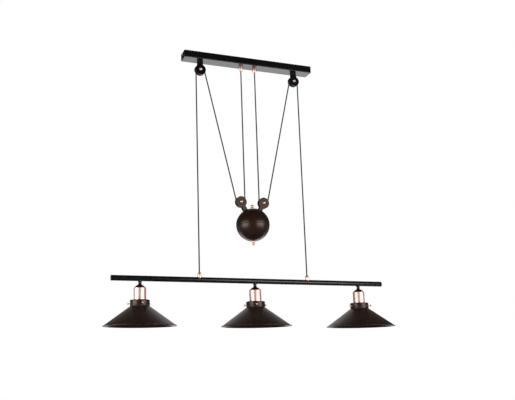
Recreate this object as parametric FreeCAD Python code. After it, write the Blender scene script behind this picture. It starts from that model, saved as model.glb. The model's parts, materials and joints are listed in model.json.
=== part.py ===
import FreeCAD, Part
import math
import os

# Rise and fall pendant: a ceiling cover with two fixed pulleys, a ball-shaped counterweight that
# hangs on two running pulleys, and a lamp bar with three coolie shades.
# Frame: origin at the middle of the ceiling plane, +Z up, +X along the bar, -Y to the front.
# All sizes are in millimetres. Each flex runs from a grip under the cover, round a running
# pulley on the counterweight, over a fixed pulley, and down to a grip on the lamp bar.

Vec = FreeCAD.Vector
X, Y, Z = Vec(1, 0, 0), Vec(0, 1, 0), Vec(0, 0, 1)
SIDES = {"left": -1, "right": 1}

# ---- driving dimensions: ceiling cover and its strap ----
COVER_LENGTH = 542.0
COVER_WIDTH = 49.0
COVER_HEIGHT = 27.5
COVER_SHEET = 1.5
COVER_CORNER = 2.0
STRAP_WIDTH = 30.0
STRAP_THICKNESS = 2.0
STRAP_TAB_DROP = 15.0
CEILING_SLOT_SPACING = 300.0
CEILING_SLOT_LENGTH = 20.0
CEILING_SLOT_WIDTH = 5.5
SUPPLY_HOLE_RADIUS = 10.0
SUPPLY_HOLE_X = -75.0
COVER_SCREW_DEPTH = 9.0
EARTH_SCREW_X = 75.0
BLOCK_LENGTH = 34.0
BLOCK_WIDTH = 20.0
BLOCK_HEIGHT = 14.0
BLOCK_WAY_PITCH = 6.5
TERMINAL_RADIUS = 1.6
TERMINAL_ROW_OFFSET = 9.0
TERMINAL_STANDS_OUT = 1.0

# ---- driving dimensions: pulleys ----
WHEEL_RADIUS = 20.5
WHEEL_WIDTH = 10.0
PITCH_RADIUS = 17.0
GROOVE_FLARE = 1.0
CHEEK_RADIUS = 21.5
CHEEK_THICKNESS = 2.5
CHEEK_EDGE = 0.6
AXLE_RADIUS = 4.0
AXLE_END_RADIUS = 2.5
AXLE_END_LENGTH = 4.0
AXLE_CAP_RADIUS = 6.0
AXLE_CAP_SKIRT = 1.6
AXLE_CAP_HEIGHT = 7.0
FIXED_PULLEY_X = 201.0
FIXED_PULLEY_DROP = 37.5
FIXED_ARM_WIDTH = 19.5
RUNNING_PULLEY_X = 46.5
RUNNING_PULLEY_REACH = 98.6
RUNNING_ARM_WIDTH = 15.0

# ---- driving dimensions: counterweight ----
WEIGHT_DROP = 672.5
WEIGHT_RADIUS = 63.5
WEIGHT_SHELL = 2.0
WEIGHT_SEAT_DEPTH = 0.8
CORE_HOLLOW_RADIUS = 32.0
CORE_HOLLOW_TOP = 28.0
CORE_BOLT_DEPTH = 14.0
ROD_RADIUS = 3.0
FINIAL_BORE_DEPTH = 7.0
TOP_KNOB_RADIUS = 7.0
TOP_KNOB_NECK_RADIUS = 4.5
TOP_KNOB_NECK = 3.0
TIP_NECK_RADIUS = 4.8
TIP_NECK = 3.5
TIP_BEAD_RADIUS = 6.6
TIP_BEAD = 5.5
TIP_END_RADIUS = 5.4
TIP_END = 7.0

# ---- driving dimensions: flex and cord grips ----
FLEX_RADIUS = 2.5
FLEX_TAIL = 12.0
CORE_WIRE_RADIUS = 0.7
COVER_GRIP_RADIUS = 8.0
COVER_GRIP_LENGTH = 22.0
BAR_GRIP_RADIUS = 7.2
BAR_GRIP_LENGTH = 17.0
GRIP_TIP_RADIUS = 4.4
GRIP_TAPER_SHARE = 0.55
GRIP_SPIGOT_RADIUS = 5.0
GRIP_SPIGOT_LENGTH = 9.0
GRIP_SCREW_RADIUS = 1.5
GRIP_SCREW_HEAD_RADIUS = 2.2
GRIP_SCREW_HEAD = 2.0
GRIP_SCREW_TURN = -35.0

# ---- driving dimensions: lamp bar ----
BAR_DROP = 887.0
BAR_RADIUS = 10.0
BAR_WALL = 1.5
BAR_LENGTH = 1088.0
BAR_CAP_FLANGE = 2.0
BAR_CAP_PLUG = 9.0
BAR_CAP_WALL = 1.6
BAR_GRIP_SPIGOT = 5.0
BAR_CORE_RADIUS = 1.1
BAR_CORE_OFFSET = 1.35
LAMP_SPACING = 440.0
LAMPS = {"left": -1, "middle": 0, "right": 1}
LAMP_TURN = {"left": -1.0, "middle": -18.0, "right": 38.0}

# ---- driving dimensions: one lamp, from the bar's axis down ----
NIPPLE_RADIUS = 4.0
NIPPLE_BORE_RADIUS = 2.75
NIPPLE_TAIL = 2.0
NECK_TOP_RADIUS = 7.2
NECK_WAIST_RADIUS = 5.8
NECK_FOOT_RADIUS = 6.8
NECK_LENGTH = 12.5
CAP_RIM_RADIUS = 19.2
CAP_HEIGHT = 9.5
CAP_SHEET = 1.5
CAP_SPIGOT = 4.5
CAP_BULGE_OUT = 0.72
CAP_BULGE_UP = 0.62
CAP_INSIDE_EDGE = 0.6
SLEEVE_RADIUS = 22.0
SLEEVE_WALL = 1.2
SLEEVE_SHOULDER = 3.2
SLEEVE_EXPOSED = 44.0
SLEEVE_TAIL = 10.0
SLEEVE_BEAD = 1.4
SLEEVE_BEAD_HEIGHT = 1.6
INSERT_HEAD_GAP = 3.0
SOCKET_RADIUS = 13.3
SOCKET_WALL = 0.8
SOCKET_LENGTH = 23.0
SOCKET_DEPTH = 30.0
SOCKET_CORNER = 2.4
SOCKET_EYE_RADIUS = 7.0
CONTACT_RADIUS = 4.0
CONTACT_HEIGHT = 2.5
GALLERY_RADIUS = 34.8
GALLERY_HEIGHT = 22.0
GALLERY_SHEET = 1.2
GALLERY_CORNER = 2.0
LOCK_RING_RADIUS = 26.0
LOCK_RING_HEIGHT = 4.0
THUMB_SCREW_COUNT = 3
THUMB_SCREW_DROP = 12.0
THUMB_SHANK_RADIUS = 1.5
THUMB_HEAD_RADIUS = 3.5
THUMB_HEAD_LENGTH = 6.0
THUMB_HEAD_CROWN = 2.0
THUMB_HEAD_STANDOFF = 8.0
SHADE_RADIUS = 130.0
SHADE_HEIGHT = 69.0
SHADE_SHEET = 0.8
SHADE_CROWN_RADIUS = 35.6
SHADE_COLLAR_RADIUS = 29.8
SHADE_COLLAR_HEIGHT = 18.0
SHADE_LIP = 1.8
SHADE_FLANGE = 3.0
SHADE_HEM_RADIUS = 1.4

# ---- fasteners ----
M6_HEAD_RADIUS = 5.2
M6_HEAD_HEIGHT = 3.6
M6_NUT_FLATS = 10.0
M6_NUT_HEIGHT = 5.0
M6_WASHER_RADIUS = 6.2
M6_WASHER_THICKNESS = 1.6
M4_RADIUS = 2.0
M4_HEAD_RADIUS = 3.7
M4_HEAD_HEIGHT = 2.4
M4_WASHER_RADIUS = 4.7
M4_WASHER_HEIGHT = 1.0
HEAD_EDGE = 0.33
GRIP_NUT_FLATS = 14.0
GRIP_NUT_HEIGHT = 3.0
NIPPLE_NUT_FLATS = 12.0
NIPPLE_NUT_HEIGHT = 4.0
BOLT_TAIL = 2.0

# ---- clearances ----
RUNNING_FIT = 0.05
THREAD_FIT = 0.05
HOLE_FIT = 0.15
WHEEL_SIDE_GAP = 0.5
FLEX_GAP = 0.3
SEAT_GAP = 0.05
COVER_FIT = 0.3
CORE_FIT = 0.2
INSERT_FIT = 0.2
COLLAR_GAP = 0.2
SHOULDER_GAP = 0.4

# ---- places worked out from the sizes above ----
COVER_UNDERSIDE = -COVER_HEIGHT
COVER_FLOOR = COVER_UNDERSIDE + COVER_SHEET
FLEX_TOP = COVER_FLOOR + FLEX_TAIL
COVER_GRIP_X = RUNNING_PULLEY_X - PITCH_RADIUS
BAR_GRIP_X = FIXED_PULLEY_X + PITCH_RADIUS
FIXED_PULLEY_Z = COVER_UNDERSIDE - FIXED_PULLEY_DROP
RUNNING_PULLEY_Z = math.sqrt(RUNNING_PULLEY_REACH ** 2 - RUNNING_PULLEY_X ** 2) - WEIGHT_DROP
CHEEK_INNER = WHEEL_WIDTH / 2 + WHEEL_SIDE_GAP
CHEEK_OUTER = CHEEK_INNER + CHEEK_THICKNESS
WEIGHT_SEAT = WEIGHT_RADIUS - WEIGHT_SEAT_DEPTH
CORE_RADIUS = WEIGHT_RADIUS - WEIGHT_SHELL - CORE_FIT
M6_RADIUS = ROD_RADIUS - THREAD_FIT
NECK_TOP = -BAR_RADIUS
CAP_TOP = NECK_TOP - NECK_LENGTH
SLEEVE_TOP = CAP_TOP - CAP_HEIGHT
GALLERY_TOP = SLEEVE_TOP - SLEEVE_EXPOSED
GALLERY_FOOT = GALLERY_TOP - GALLERY_HEIGHT
SLEEVE_FOOT = GALLERY_TOP - SLEEVE_TAIL
INSERT_TOP = SLEEVE_TOP - CAP_SPIGOT - INSERT_HEAD_GAP
INSERT_FOOT = SLEEVE_FOOT + SLEEVE_WALL + INSERT_FIT
SOCKET_CEILING = INSERT_FOOT + SOCKET_DEPTH
SOCKET_OUTER = SOCKET_RADIUS + SOCKET_WALL
SHADE_CROWN = GALLERY_FOOT - SHOULDER_GAP
SHADE_RIM = SHADE_CROWN - SHADE_HEIGHT


# ---- shape helpers ----
def at(r, z):
    """A point of a turned profile, r out from the axis and z up it."""
    return Vec(r, 0, z)


def bend(centre, radius, begin, finish):
    """Middle and end points of an arc between two angles in degrees, for an outline step."""
    angles = [math.radians(a) for a in ((begin + finish) / 2, finish)]
    return tuple((centre[0] + radius * math.cos(a), centre[1] + radius * math.sin(a)) for a in angles)


def dome(radius, low, high):
    """Outline step from (radius, low) to the axis at high, by an arc centred on the axis."""
    rise = high - low
    ball = (radius ** 2 + rise ** 2) / (2 * abs(rise))
    centre = high - math.copysign(ball, rise)
    begin, finish = math.atan2(low - centre, radius), math.atan2(high - centre, 0)
    return bend((0, centre), ball, math.degrees(begin), math.degrees(finish))


def tapered(radius, begin, tip_radius, tip):
    """Outline step from (radius, begin) that leaves upright and curves to (tip_radius, tip)."""
    inset, run = radius - tip_radius, tip - begin
    swing = (run ** 2 + inset ** 2) / (2 * inset)
    return bend((radius - swing, begin), swing, 0, math.degrees(math.asin(run / swing)))


def outline(start, *steps):
    """Closed face in the XZ plane. A step is a point, or an arc's middle and end points."""
    edges, here = [], start
    for step in steps + (start,):
        middle, end = step if isinstance(step[0], tuple) else (None, step)
        if middle:
            edges.append(Part.Arc(at(*here), at(*middle), at(*end)).toShape())
        elif math.dist(here, end) > 1e-7:
            edges.append(Part.LineSegment(at(*here), at(*end)).toShape())
        here = end
    return Part.Face(Part.Wire(edges))


def turned(start, *steps):
    """Solid of revolution about Z."""
    return outline(start, *steps).revolve(Vec(), Z, 360)


def moved(shape, to, toward=Z):
    """Copy of a shape that is built along Z, turned to point toward a direction and moved."""
    copy = shape.copy()
    copy.Placement = FreeCAD.Placement(to, FreeCAD.Rotation(Z, toward)).multiply(copy.Placement)
    return copy


def rod(radius, begin, end):
    """Round rod between two points."""
    return Part.makeCylinder(radius, (end - begin).Length, begin, end - begin)


def ring(outer, inner, low, high):
    """Flat ring or tube about Z."""
    return turned((inner, low), (outer, low), (outer, high), (inner, high))


def block(x0, x1, y0, y1, z0, z1):
    return Part.makeBox(x1 - x0, y1 - y0, z1 - z0, Vec(x0, y0, z0))


def hex_nut(flats, height, bore):
    """Nut that sits on z = 0, with the bore of its thread."""
    corner = flats / math.sqrt(3)
    points = [Vec(corner * math.cos(i * math.pi / 3), corner * math.sin(i * math.pi / 3), 0)
              for i in range(7)]
    prism = Part.Face(Part.makePolygon(points)).extrude(Vec(0, 0, height))
    return prism.cut(rod(bore, Vec(0, 0, -1), Vec(0, 0, height + 1)))


def screw(head_radius, head_height, shank_radius, length):
    """Pan-head screw whose head stands up from z = 0 and whose shank goes down."""
    edge = head_height * HEAD_EDGE
    head = turned((0, 0), (head_radius, 0), (head_radius, head_height - edge),
                  bend((head_radius - edge, head_height - edge), edge, 0, 90), (0, head_height))
    return head.fuse(rod(shank_radius, Vec(0, 0, -length), Vec(0, 0, 0))).removeSplitter()


def swept(points, radius, bend_radius):
    """Round wire through points: straight runs joined by tangent arcs, points in line passed over."""
    edges, here = [], points[0]
    for before, corner, after in zip(points, points[1:], points[2:]):
        into, out = (corner - before).normalize(), (after - corner).normalize()
        half_turn = into.getAngle(out) / 2
        if half_turn < 1e-6:
            continue
        reach = bend_radius * math.tan(half_turn)
        begin, end = corner - into * reach, corner + out * reach
        inward = (out - into).normalize()
        middle = corner + inward * (bend_radius / math.cos(half_turn) - bend_radius)
        edges += [Part.LineSegment(here, begin).toShape(), Part.Arc(begin, middle, end).toShape()]
        here = end
    edges.append(Part.LineSegment(here, points[-1]).toShape())
    return pipe(edges, radius)


def pipe(edges, radius):
    """Solid round tube along edges that follow each other tangentially."""
    path = Part.Wire(edges)
    begin = path.OrderedVertexes[0].Point
    first = path.OrderedEdges[0]
    section = Part.Wire(Part.makeCircle(radius, begin, first.tangentAt(first.FirstParameter)))
    return path.makePipeShell([section], True, False)


def group(shapes):
    return Part.makeCompound(list(shapes))


def side_of(shape, side):
    """The right-hand shape itself, or its mirror image for the left side."""
    return shape if side > 0 else shape.mirror(Vec(), X)


def ease(shape, radius, chosen):
    """Round the edges that a test picks out."""
    return shape.makeFillet(radius, [edge for edge in shape.Edges if chosen(edge)])


def runs_along(edge, direction):
    ends = [v.Point for v in edge.Vertexes]
    return len(ends) == 2 and abs((ends[1] - ends[0]).normalize().dot(direction)) > 0.999


# ---- ceiling cover, strap and what is inside ----
def ceiling_cover():
    half_l, half_w = COVER_LENGTH / 2, COVER_WIDTH / 2
    shell = block(-half_l, half_l, -half_w, half_w, COVER_UNDERSIDE, 0)
    shell = ease(shell, COVER_CORNER,
                 lambda e: runs_along(e, Z) or e.CenterOfMass.z < COVER_UNDERSIDE + 0.01)
    inner_l, inner_w = half_l - COVER_SHEET, half_w - COVER_SHEET
    shell = shell.cut(block(-inner_l, inner_l, -inner_w, inner_w, COVER_FLOOR, 1))
    for side in SIDES.values():
        for x, hole in ((COVER_GRIP_X, GRIP_SPIGOT_RADIUS + HOLE_FIT),
                        (FIXED_PULLEY_X, ROD_RADIUS + HOLE_FIT)):
            shell = shell.cut(rod(hole, Vec(side * x, 0, COVER_UNDERSIDE - 1), Vec(side * x, 0, 0)))
        shell = shell.cut(rod(M4_RADIUS + HOLE_FIT, Vec(side * (inner_l - 1), 0, -COVER_SCREW_DEPTH),
                              Vec(side * (half_l + 1), 0, -COVER_SCREW_DEPTH)))
    return shell


def ceiling_strap():
    half_l = COVER_LENGTH / 2 - COVER_SHEET - COVER_FIT
    half_w = STRAP_WIDTH / 2
    strap = block(-half_l, half_l, -half_w, half_w, -STRAP_THICKNESS, 0)
    for side in SIDES.values():
        tab = block(half_l - STRAP_THICKNESS, half_l, -half_w, half_w, -STRAP_TAB_DROP, 0)
        tab = tab.cut(rod(M4_RADIUS + THREAD_FIT, Vec(half_l - STRAP_THICKNESS - 1, 0, -COVER_SCREW_DEPTH),
                          Vec(half_l + 1, 0, -COVER_SCREW_DEPTH)))
        strap = strap.fuse(side_of(tab, side))
        strap = strap.cut(ceiling_slot(side * CEILING_SLOT_SPACING / 2))
    below, above = -STRAP_THICKNESS - 1, 1
    for x, radius in ((SUPPLY_HOLE_X, SUPPLY_HOLE_RADIUS), (EARTH_SCREW_X, M4_RADIUS + THREAD_FIT),
                      (0, M4_RADIUS + THREAD_FIT)):
        strap = strap.cut(rod(radius, Vec(x, 0, below), Vec(x, 0, above)))
    return strap.removeSplitter()


def ceiling_slot(x):
    """Cutter for one slot along X, with round ends."""
    radius, half = CEILING_SLOT_WIDTH / 2, (CEILING_SLOT_LENGTH - CEILING_SLOT_WIDTH) / 2
    low, high = -STRAP_THICKNESS - 1, 1
    ends = [rod(radius, Vec(x + s * half, 0, low), Vec(x + s * half, 0, high)) for s in (-1, 1)]
    return block(x - half, x + half, -radius, radius, low, high).fuse(ends)


def cover_screws():
    length = COVER_SHEET + COVER_FIT + STRAP_THICKNESS + BOLT_TAIL
    one = screw(M4_HEAD_RADIUS, M4_HEAD_HEIGHT, M4_RADIUS, length)
    return group(moved(one, Vec(side * COVER_LENGTH / 2, 0, -COVER_SCREW_DEPTH), X * side)
                 for side in SIDES.values())


def terminal_places():
    return [Vec(side * TERMINAL_ROW_OFFSET, way * BLOCK_WAY_PITCH, -STRAP_THICKNESS - BLOCK_HEIGHT)
            for side in SIDES.values() for way in (-1, 0, 1)]


def terminal_block():
    low = -STRAP_THICKNESS - BLOCK_HEIGHT
    body = block(-BLOCK_LENGTH / 2, BLOCK_LENGTH / 2, -BLOCK_WIDTH / 2, BLOCK_WIDTH / 2,
                 low, -STRAP_THICKNESS)
    for place in terminal_places():
        body = body.cut(rod(TERMINAL_RADIUS + SEAT_GAP, place - Z, place + Z * BLOCK_HEIGHT / 2))
    body = body.cut(rod(M4_RADIUS + HOLE_FIT, Vec(0, 0, low - 1), Vec(0, 0, 0)))
    return body.cut(rod(M4_HEAD_RADIUS + HOLE_FIT, Vec(0, 0, low - 1), Vec(0, 0, low + M4_HEAD_HEIGHT)))


def terminal_screws():
    return group(rod(TERMINAL_RADIUS, place - Z * TERMINAL_STANDS_OUT, place + Z * BLOCK_HEIGHT / 2)
                 for place in terminal_places())


def block_screw():
    seat = -STRAP_THICKNESS - BLOCK_HEIGHT + M4_HEAD_HEIGHT
    one = screw(M4_HEAD_RADIUS, M4_HEAD_HEIGHT, M4_RADIUS, -seat)
    return moved(one, Vec(0, 0, seat), -Z)


def earth_screw():
    washer = ring(M4_WASHER_RADIUS, M4_RADIUS + HOLE_FIT, 0, M4_WASHER_HEIGHT)
    one = screw(M4_HEAD_RADIUS, M4_HEAD_HEIGHT, M4_RADIUS, STRAP_THICKNESS + M4_WASHER_HEIGHT)
    return group([moved(washer, Vec(EARTH_SCREW_X, 0, -STRAP_THICKNESS), -Z),
                  moved(one, Vec(EARTH_SCREW_X, 0, -STRAP_THICKNESS - M4_WASHER_HEIGHT), -Z)])


def canopy_wiring():
    """Three cores from each flex's end, up and across to the terminal block."""
    cores = []
    level = (FLEX_TOP - STRAP_THICKNESS) / 2
    for side in SIDES.values():
        for way in (-1, 0, 1):
            leave = way * (2 * CORE_WIRE_RADIUS + FLEX_GAP / 2)
            enter = (BLOCK_LENGTH / 2 + COVER_GRIP_X) / 2
            points = [Vec(COVER_GRIP_X, leave, FLEX_TOP), Vec(COVER_GRIP_X, leave, level),
                      Vec(enter, way * BLOCK_WAY_PITCH, level),
                      Vec(BLOCK_LENGTH / 2, way * BLOCK_WAY_PITCH, level)]
            cores.append(side_of(swept(points, CORE_WIRE_RADIUS, 3 * CORE_WIRE_RADIUS), side))
    return group(cores)


# ---- cord grips ----
def cord_grip(radius, length, spigot):
    """Bullet-shaped grip that hangs down from z = 0, with a threaded spigot above and a bore."""
    bore = FLEX_RADIUS + HOLE_FIT
    straight = -length * (1 - GRIP_TAPER_SHARE)
    body = turned((bore, spigot), (GRIP_SPIGOT_RADIUS, spigot), (GRIP_SPIGOT_RADIUS, 0), (radius, 0),
                  (radius, straight), tapered(radius, straight, GRIP_TIP_RADIUS, -length),
                  (bore, -length))
    hole = rod(GRIP_SCREW_RADIUS + THREAD_FIT, Vec(0, 0, 0), Vec(2 * radius, 0, 0))
    return body.cut(moved_to_screw(hole, length))


def moved_to_screw(shape, length):
    """Place something built along X at the set screw's height and turn."""
    copy = shape.copy()
    copy.rotate(Vec(), Z, GRIP_SCREW_TURN)
    copy.translate(Vec(0, 0, -length * (1 - GRIP_TAPER_SHARE)))
    return copy


def grip_screw(radius, length):
    tip = FLEX_RADIUS + FLEX_GAP / 2
    one = screw(GRIP_SCREW_HEAD_RADIUS, GRIP_SCREW_HEAD, GRIP_SCREW_RADIUS, radius - tip)
    return moved_to_screw(moved(one, Vec(radius, 0, 0), X), length)


def cover_grip(side):
    grip = cord_grip(COVER_GRIP_RADIUS, COVER_GRIP_LENGTH, GRIP_SPIGOT_LENGTH)
    return moved(grip, Vec(side * COVER_GRIP_X, 0, COVER_UNDERSIDE))


def cover_grip_nuts():
    nut = hex_nut(GRIP_NUT_FLATS, GRIP_NUT_HEIGHT, GRIP_SPIGOT_RADIUS + THREAD_FIT)
    return group(moved(nut, Vec(side * COVER_GRIP_X, 0, COVER_FLOOR)) for side in SIDES.values())


def cover_grip_screws():
    one = grip_screw(COVER_GRIP_RADIUS, COVER_GRIP_LENGTH)
    return group(moved(one, Vec(side * COVER_GRIP_X, 0, COVER_UNDERSIDE)) for side in SIDES.values())


def bar_grip(side):
    """The same grip the other way up, saddled on the round bar."""
    saddle = BAR_RADIUS - math.sqrt(BAR_RADIUS ** 2 - BAR_GRIP_RADIUS ** 2)
    length = BAR_GRIP_LENGTH + saddle
    grip = cord_grip(BAR_GRIP_RADIUS, length, BAR_GRIP_SPIGOT)
    grip.rotate(Vec(), X, 180)
    grip.translate(Vec(side * BAR_GRIP_X, 0, BAR_RADIUS - saddle))
    tube = rod(BAR_RADIUS + SEAT_GAP, Vec(-BAR_LENGTH, 0, 0), Vec(BAR_LENGTH, 0, 0))
    inside = rod(GRIP_SPIGOT_RADIUS, Vec(side * BAR_GRIP_X, 0, BAR_RADIUS - saddle - BAR_GRIP_SPIGOT),
                 Vec(side * BAR_GRIP_X, 0, BAR_RADIUS + SEAT_GAP))
    inside = inside.cut(rod(FLEX_RADIUS + HOLE_FIT, Vec(side * BAR_GRIP_X, 0, 0),
                            Vec(side * BAR_GRIP_X, 0, 2 * BAR_RADIUS)))
    return on_bar(grip.cut(tube).fuse(inside).removeSplitter())


def bar_grip_screws():
    saddle = BAR_RADIUS - math.sqrt(BAR_RADIUS ** 2 - BAR_GRIP_RADIUS ** 2)
    one = grip_screw(BAR_GRIP_RADIUS, BAR_GRIP_LENGTH + saddle)
    one.rotate(Vec(), X, 180)
    return on_bar(group(moved(one, Vec(side * BAR_GRIP_X, 0, BAR_RADIUS - saddle))
                        for side in SIDES.values()))


# ---- pulleys ----
def yoke(arm_width, reach):
    """U-shaped yoke about a pulley centre, its arms up along Z to a flat web with a bolt hole."""
    cheek = Part.makeCylinder(CHEEK_RADIUS, CHEEK_THICKNESS, Vec(0, CHEEK_INNER, 0), Y)
    cheek = ease(cheek, CHEEK_EDGE, lambda e: abs(e.CenterOfMass.y - CHEEK_OUTER) < 0.01
                 and len(e.Vertexes) == 1)
    half = arm_width / 2
    cheek = cheek.fuse(block(-half, half, CHEEK_INNER, CHEEK_OUTER, 0, reach))
    web = block(-half, half, -CHEEK_OUTER, CHEEK_OUTER, reach - CHEEK_THICKNESS, reach)
    body = cheek.fuse([cheek.mirror(Vec(), Y), web]).removeSplitter()
    body = ease(body, CHEEK_THICKNESS / 2, lambda e: runs_along(e, X)
                and abs(e.CenterOfMass.z - reach) < 0.01)
    body = body.cut(rod(AXLE_RADIUS + SEAT_GAP, Y * -2 * CHEEK_OUTER, Y * 2 * CHEEK_OUTER))
    return body.cut(rod(ROD_RADIUS + HOLE_FIT, Vec(0, 0, reach / 2), Vec(0, 0, 2 * reach)))


def wheel():
    """Grooved wheel about Y: the groove follows the flex with a small gap and flares outwards."""
    half = WHEEL_WIDTH / 2
    groove = FLEX_RADIUS + FLEX_GAP
    lip = groove + GROOVE_FLARE
    bore = AXLE_RADIUS + RUNNING_FIT
    body = turned((bore, -half), (WHEEL_RADIUS, -half), (WHEEL_RADIUS, -lip), (PITCH_RADIUS, -groove),
                  ((PITCH_RADIUS - groove, 0), (PITCH_RADIUS, groove)), (WHEEL_RADIUS, lip),
                  (WHEEL_RADIUS, half), (bore, half))
    return moved(body, Vec(), Y)


def axle():
    """Axle pin along Y with a threaded end on each side."""
    pin = rod(AXLE_RADIUS, Y * -CHEEK_OUTER, Y * CHEEK_OUTER)
    end = CHEEK_OUTER + AXLE_END_LENGTH
    return pin.fuse(rod(AXLE_END_RADIUS, Y * -end, Y * end)).removeSplitter()


def axle_cap(face):
    """Domed cap on the front (-1) or back (1) end of an axle."""
    bore, depth = AXLE_END_RADIUS + THREAD_FIT, AXLE_END_LENGTH + SEAT_GAP
    cap = turned((0, depth), (bore, depth), (bore, 0), (AXLE_CAP_RADIUS, 0),
                 (AXLE_CAP_RADIUS, AXLE_CAP_SKIRT), dome(AXLE_CAP_RADIUS, AXLE_CAP_SKIRT, AXLE_CAP_HEIGHT))
    return moved(cap, Y * face * CHEEK_OUTER, Y * face)


def at_fixed_pulley(shape, side):
    return moved(shape, Vec(side * FIXED_PULLEY_X, 0, FIXED_PULLEY_Z))


def at_running_pulley(shape, side):
    """Turn a shape whose arms point up so that they point to the weight's centre."""
    copy = shape.copy()
    lean = math.degrees(math.asin(RUNNING_PULLEY_X / RUNNING_PULLEY_REACH))
    copy.rotate(Vec(), Y, 180 + side * lean)
    copy.translate(Vec(side * RUNNING_PULLEY_X, 0, RUNNING_PULLEY_Z))
    return copy


def pulley_fixings(place, part):
    return group(place(piece, side) for side in SIDES.values() for piece in part)


def fixed_bolts():
    """Bolts up through web and cover, with a washer and a nut inside the cover."""
    web = FIXED_PULLEY_DROP - CHEEK_THICKNESS
    length = CHEEK_THICKNESS + COVER_SHEET + M6_WASHER_THICKNESS + M6_NUT_HEIGHT + BOLT_TAIL
    one = moved(screw(M6_HEAD_RADIUS, M6_HEAD_HEIGHT, M6_RADIUS, length), Vec(0, 0, web), -Z)
    return pulley_fixings(at_fixed_pulley, [one])


def fixed_washers():
    washer = ring(M6_WASHER_RADIUS, ROD_RADIUS + HOLE_FIT, 0, M6_WASHER_THICKNESS)
    return group(moved(washer, Vec(side * FIXED_PULLEY_X, 0, COVER_FLOOR)) for side in SIDES.values())


def fixed_nuts():
    nut = hex_nut(M6_NUT_FLATS, M6_NUT_HEIGHT, ROD_RADIUS)
    return group(moved(nut, Vec(side * FIXED_PULLEY_X, 0, COVER_FLOOR + M6_WASHER_THICKNESS))
                 for side in SIDES.values())


def running_bolts():
    """Bolts from inside each running yoke into the counterweight's core."""
    web = RUNNING_PULLEY_REACH - WEIGHT_SEAT - CHEEK_THICKNESS
    length = CHEEK_THICKNESS + WEIGHT_SEAT - CORE_RADIUS + CORE_BOLT_DEPTH
    one = moved(screw(M6_HEAD_RADIUS, M6_HEAD_HEIGHT, M6_RADIUS, length), Vec(0, 0, web), -Z)
    return pulley_fixings(at_running_pulley, [one])


# ---- counterweight ----
def on_weight(shape):
    return moved(shape, Vec(0, 0, -WEIGHT_DROP))


def yoke_directions():
    lean = math.asin(RUNNING_PULLEY_X / RUNNING_PULLEY_REACH)
    return [Vec(side * math.sin(lean), 0, math.cos(lean)) for side in SIDES.values()]


def weight_shell(half):
    """Upper (1) or lower (-1) half shell, with a rod hole and flats for the yokes."""
    inner = WEIGHT_RADIUS - WEIGHT_SHELL
    diagonal = math.sqrt(0.5)
    face = outline((inner, 0), (WEIGHT_RADIUS, 0),
                   ((WEIGHT_RADIUS * diagonal, half * WEIGHT_RADIUS * diagonal), (0, half * WEIGHT_RADIUS)),
                   (0, half * inner), ((inner * diagonal, half * inner * diagonal), (inner, 0)))
    shell = face.revolve(Vec(), Z, 360)
    shell = shell.cut(rod(ROD_RADIUS + HOLE_FIT, Vec(), Vec(0, 0, half * (WEIGHT_RADIUS + 1))))
    if half > 0:
        seat_radius = math.hypot(RUNNING_ARM_WIDTH / 2, CHEEK_OUTER) + HOLE_FIT
        for way in yoke_directions():
            shell = shell.cut(rod(seat_radius, way * WEIGHT_SEAT, way * (WEIGHT_RADIUS + 1)))
            shell = shell.cut(rod(ROD_RADIUS + HOLE_FIT, way * CORE_RADIUS / 2, way * WEIGHT_RADIUS))
    return on_weight(shell)


def weight_core():
    """Cast ball, cored out from below to bring it to the lamp bar's balance."""
    core = Part.makeSphere(CORE_RADIUS)
    core = core.cut(rod(CORE_HOLLOW_RADIUS, Vec(0, 0, -2 * CORE_RADIUS), Vec(0, 0, CORE_HOLLOW_TOP)))
    core = core.cut(rod(ROD_RADIUS + HOLE_FIT, Vec(), Vec(0, 0, 2 * CORE_RADIUS)))
    for way in yoke_directions():
        depth = CORE_RADIUS - CORE_BOLT_DEPTH - BOLT_TAIL
        core = core.cut(rod(ROD_RADIUS, way * depth, way * 2 * CORE_RADIUS))
    return on_weight(core)


def weight_rod():
    end = WEIGHT_RADIUS + FINIAL_BORE_DEPTH - SEAT_GAP
    return on_weight(rod(M6_RADIUS, Vec(0, 0, -end), Vec(0, 0, end)))


def finial_bore():
    return rod(ROD_RADIUS, Vec(0, 0, -1), Vec(0, 0, FINIAL_BORE_DEPTH))


def top_finial():
    """Round knob on a short neck."""
    centre = TOP_KNOB_NECK + math.sqrt(TOP_KNOB_RADIUS ** 2 - TOP_KNOB_NECK_RADIUS ** 2)
    meet = math.degrees(math.asin((centre - TOP_KNOB_NECK) / TOP_KNOB_RADIUS))
    knob = turned((0, 0), (TOP_KNOB_NECK_RADIUS, 0), (TOP_KNOB_NECK_RADIUS, TOP_KNOB_NECK),
                  bend((0, centre), TOP_KNOB_RADIUS, -meet, 90))
    return on_weight(moved(knob.cut(finial_bore()), Vec(0, 0, WEIGHT_RADIUS)))


def bottom_finial():
    """Stepped tip: neck, bead and rounded end."""
    bead_foot, bead_top = TIP_NECK, TIP_NECK + TIP_BEAD
    middle = (bead_foot + bead_top) / 2
    length = bead_top + TIP_END
    tip = turned((0, 0), (TIP_NECK_RADIUS, 0), (TIP_NECK_RADIUS, bead_foot),
                 ((TIP_BEAD_RADIUS, middle), (TIP_NECK_RADIUS, bead_top)),
                 (TIP_END_RADIUS, bead_top), (TIP_END_RADIUS, length - TIP_END_RADIUS),
                 bend((0, length - TIP_END_RADIUS), TIP_END_RADIUS, 0, 90))
    return on_weight(moved(tip.cut(finial_bore()), Vec(0, 0, -WEIGHT_RADIUS), -Z))


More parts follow.
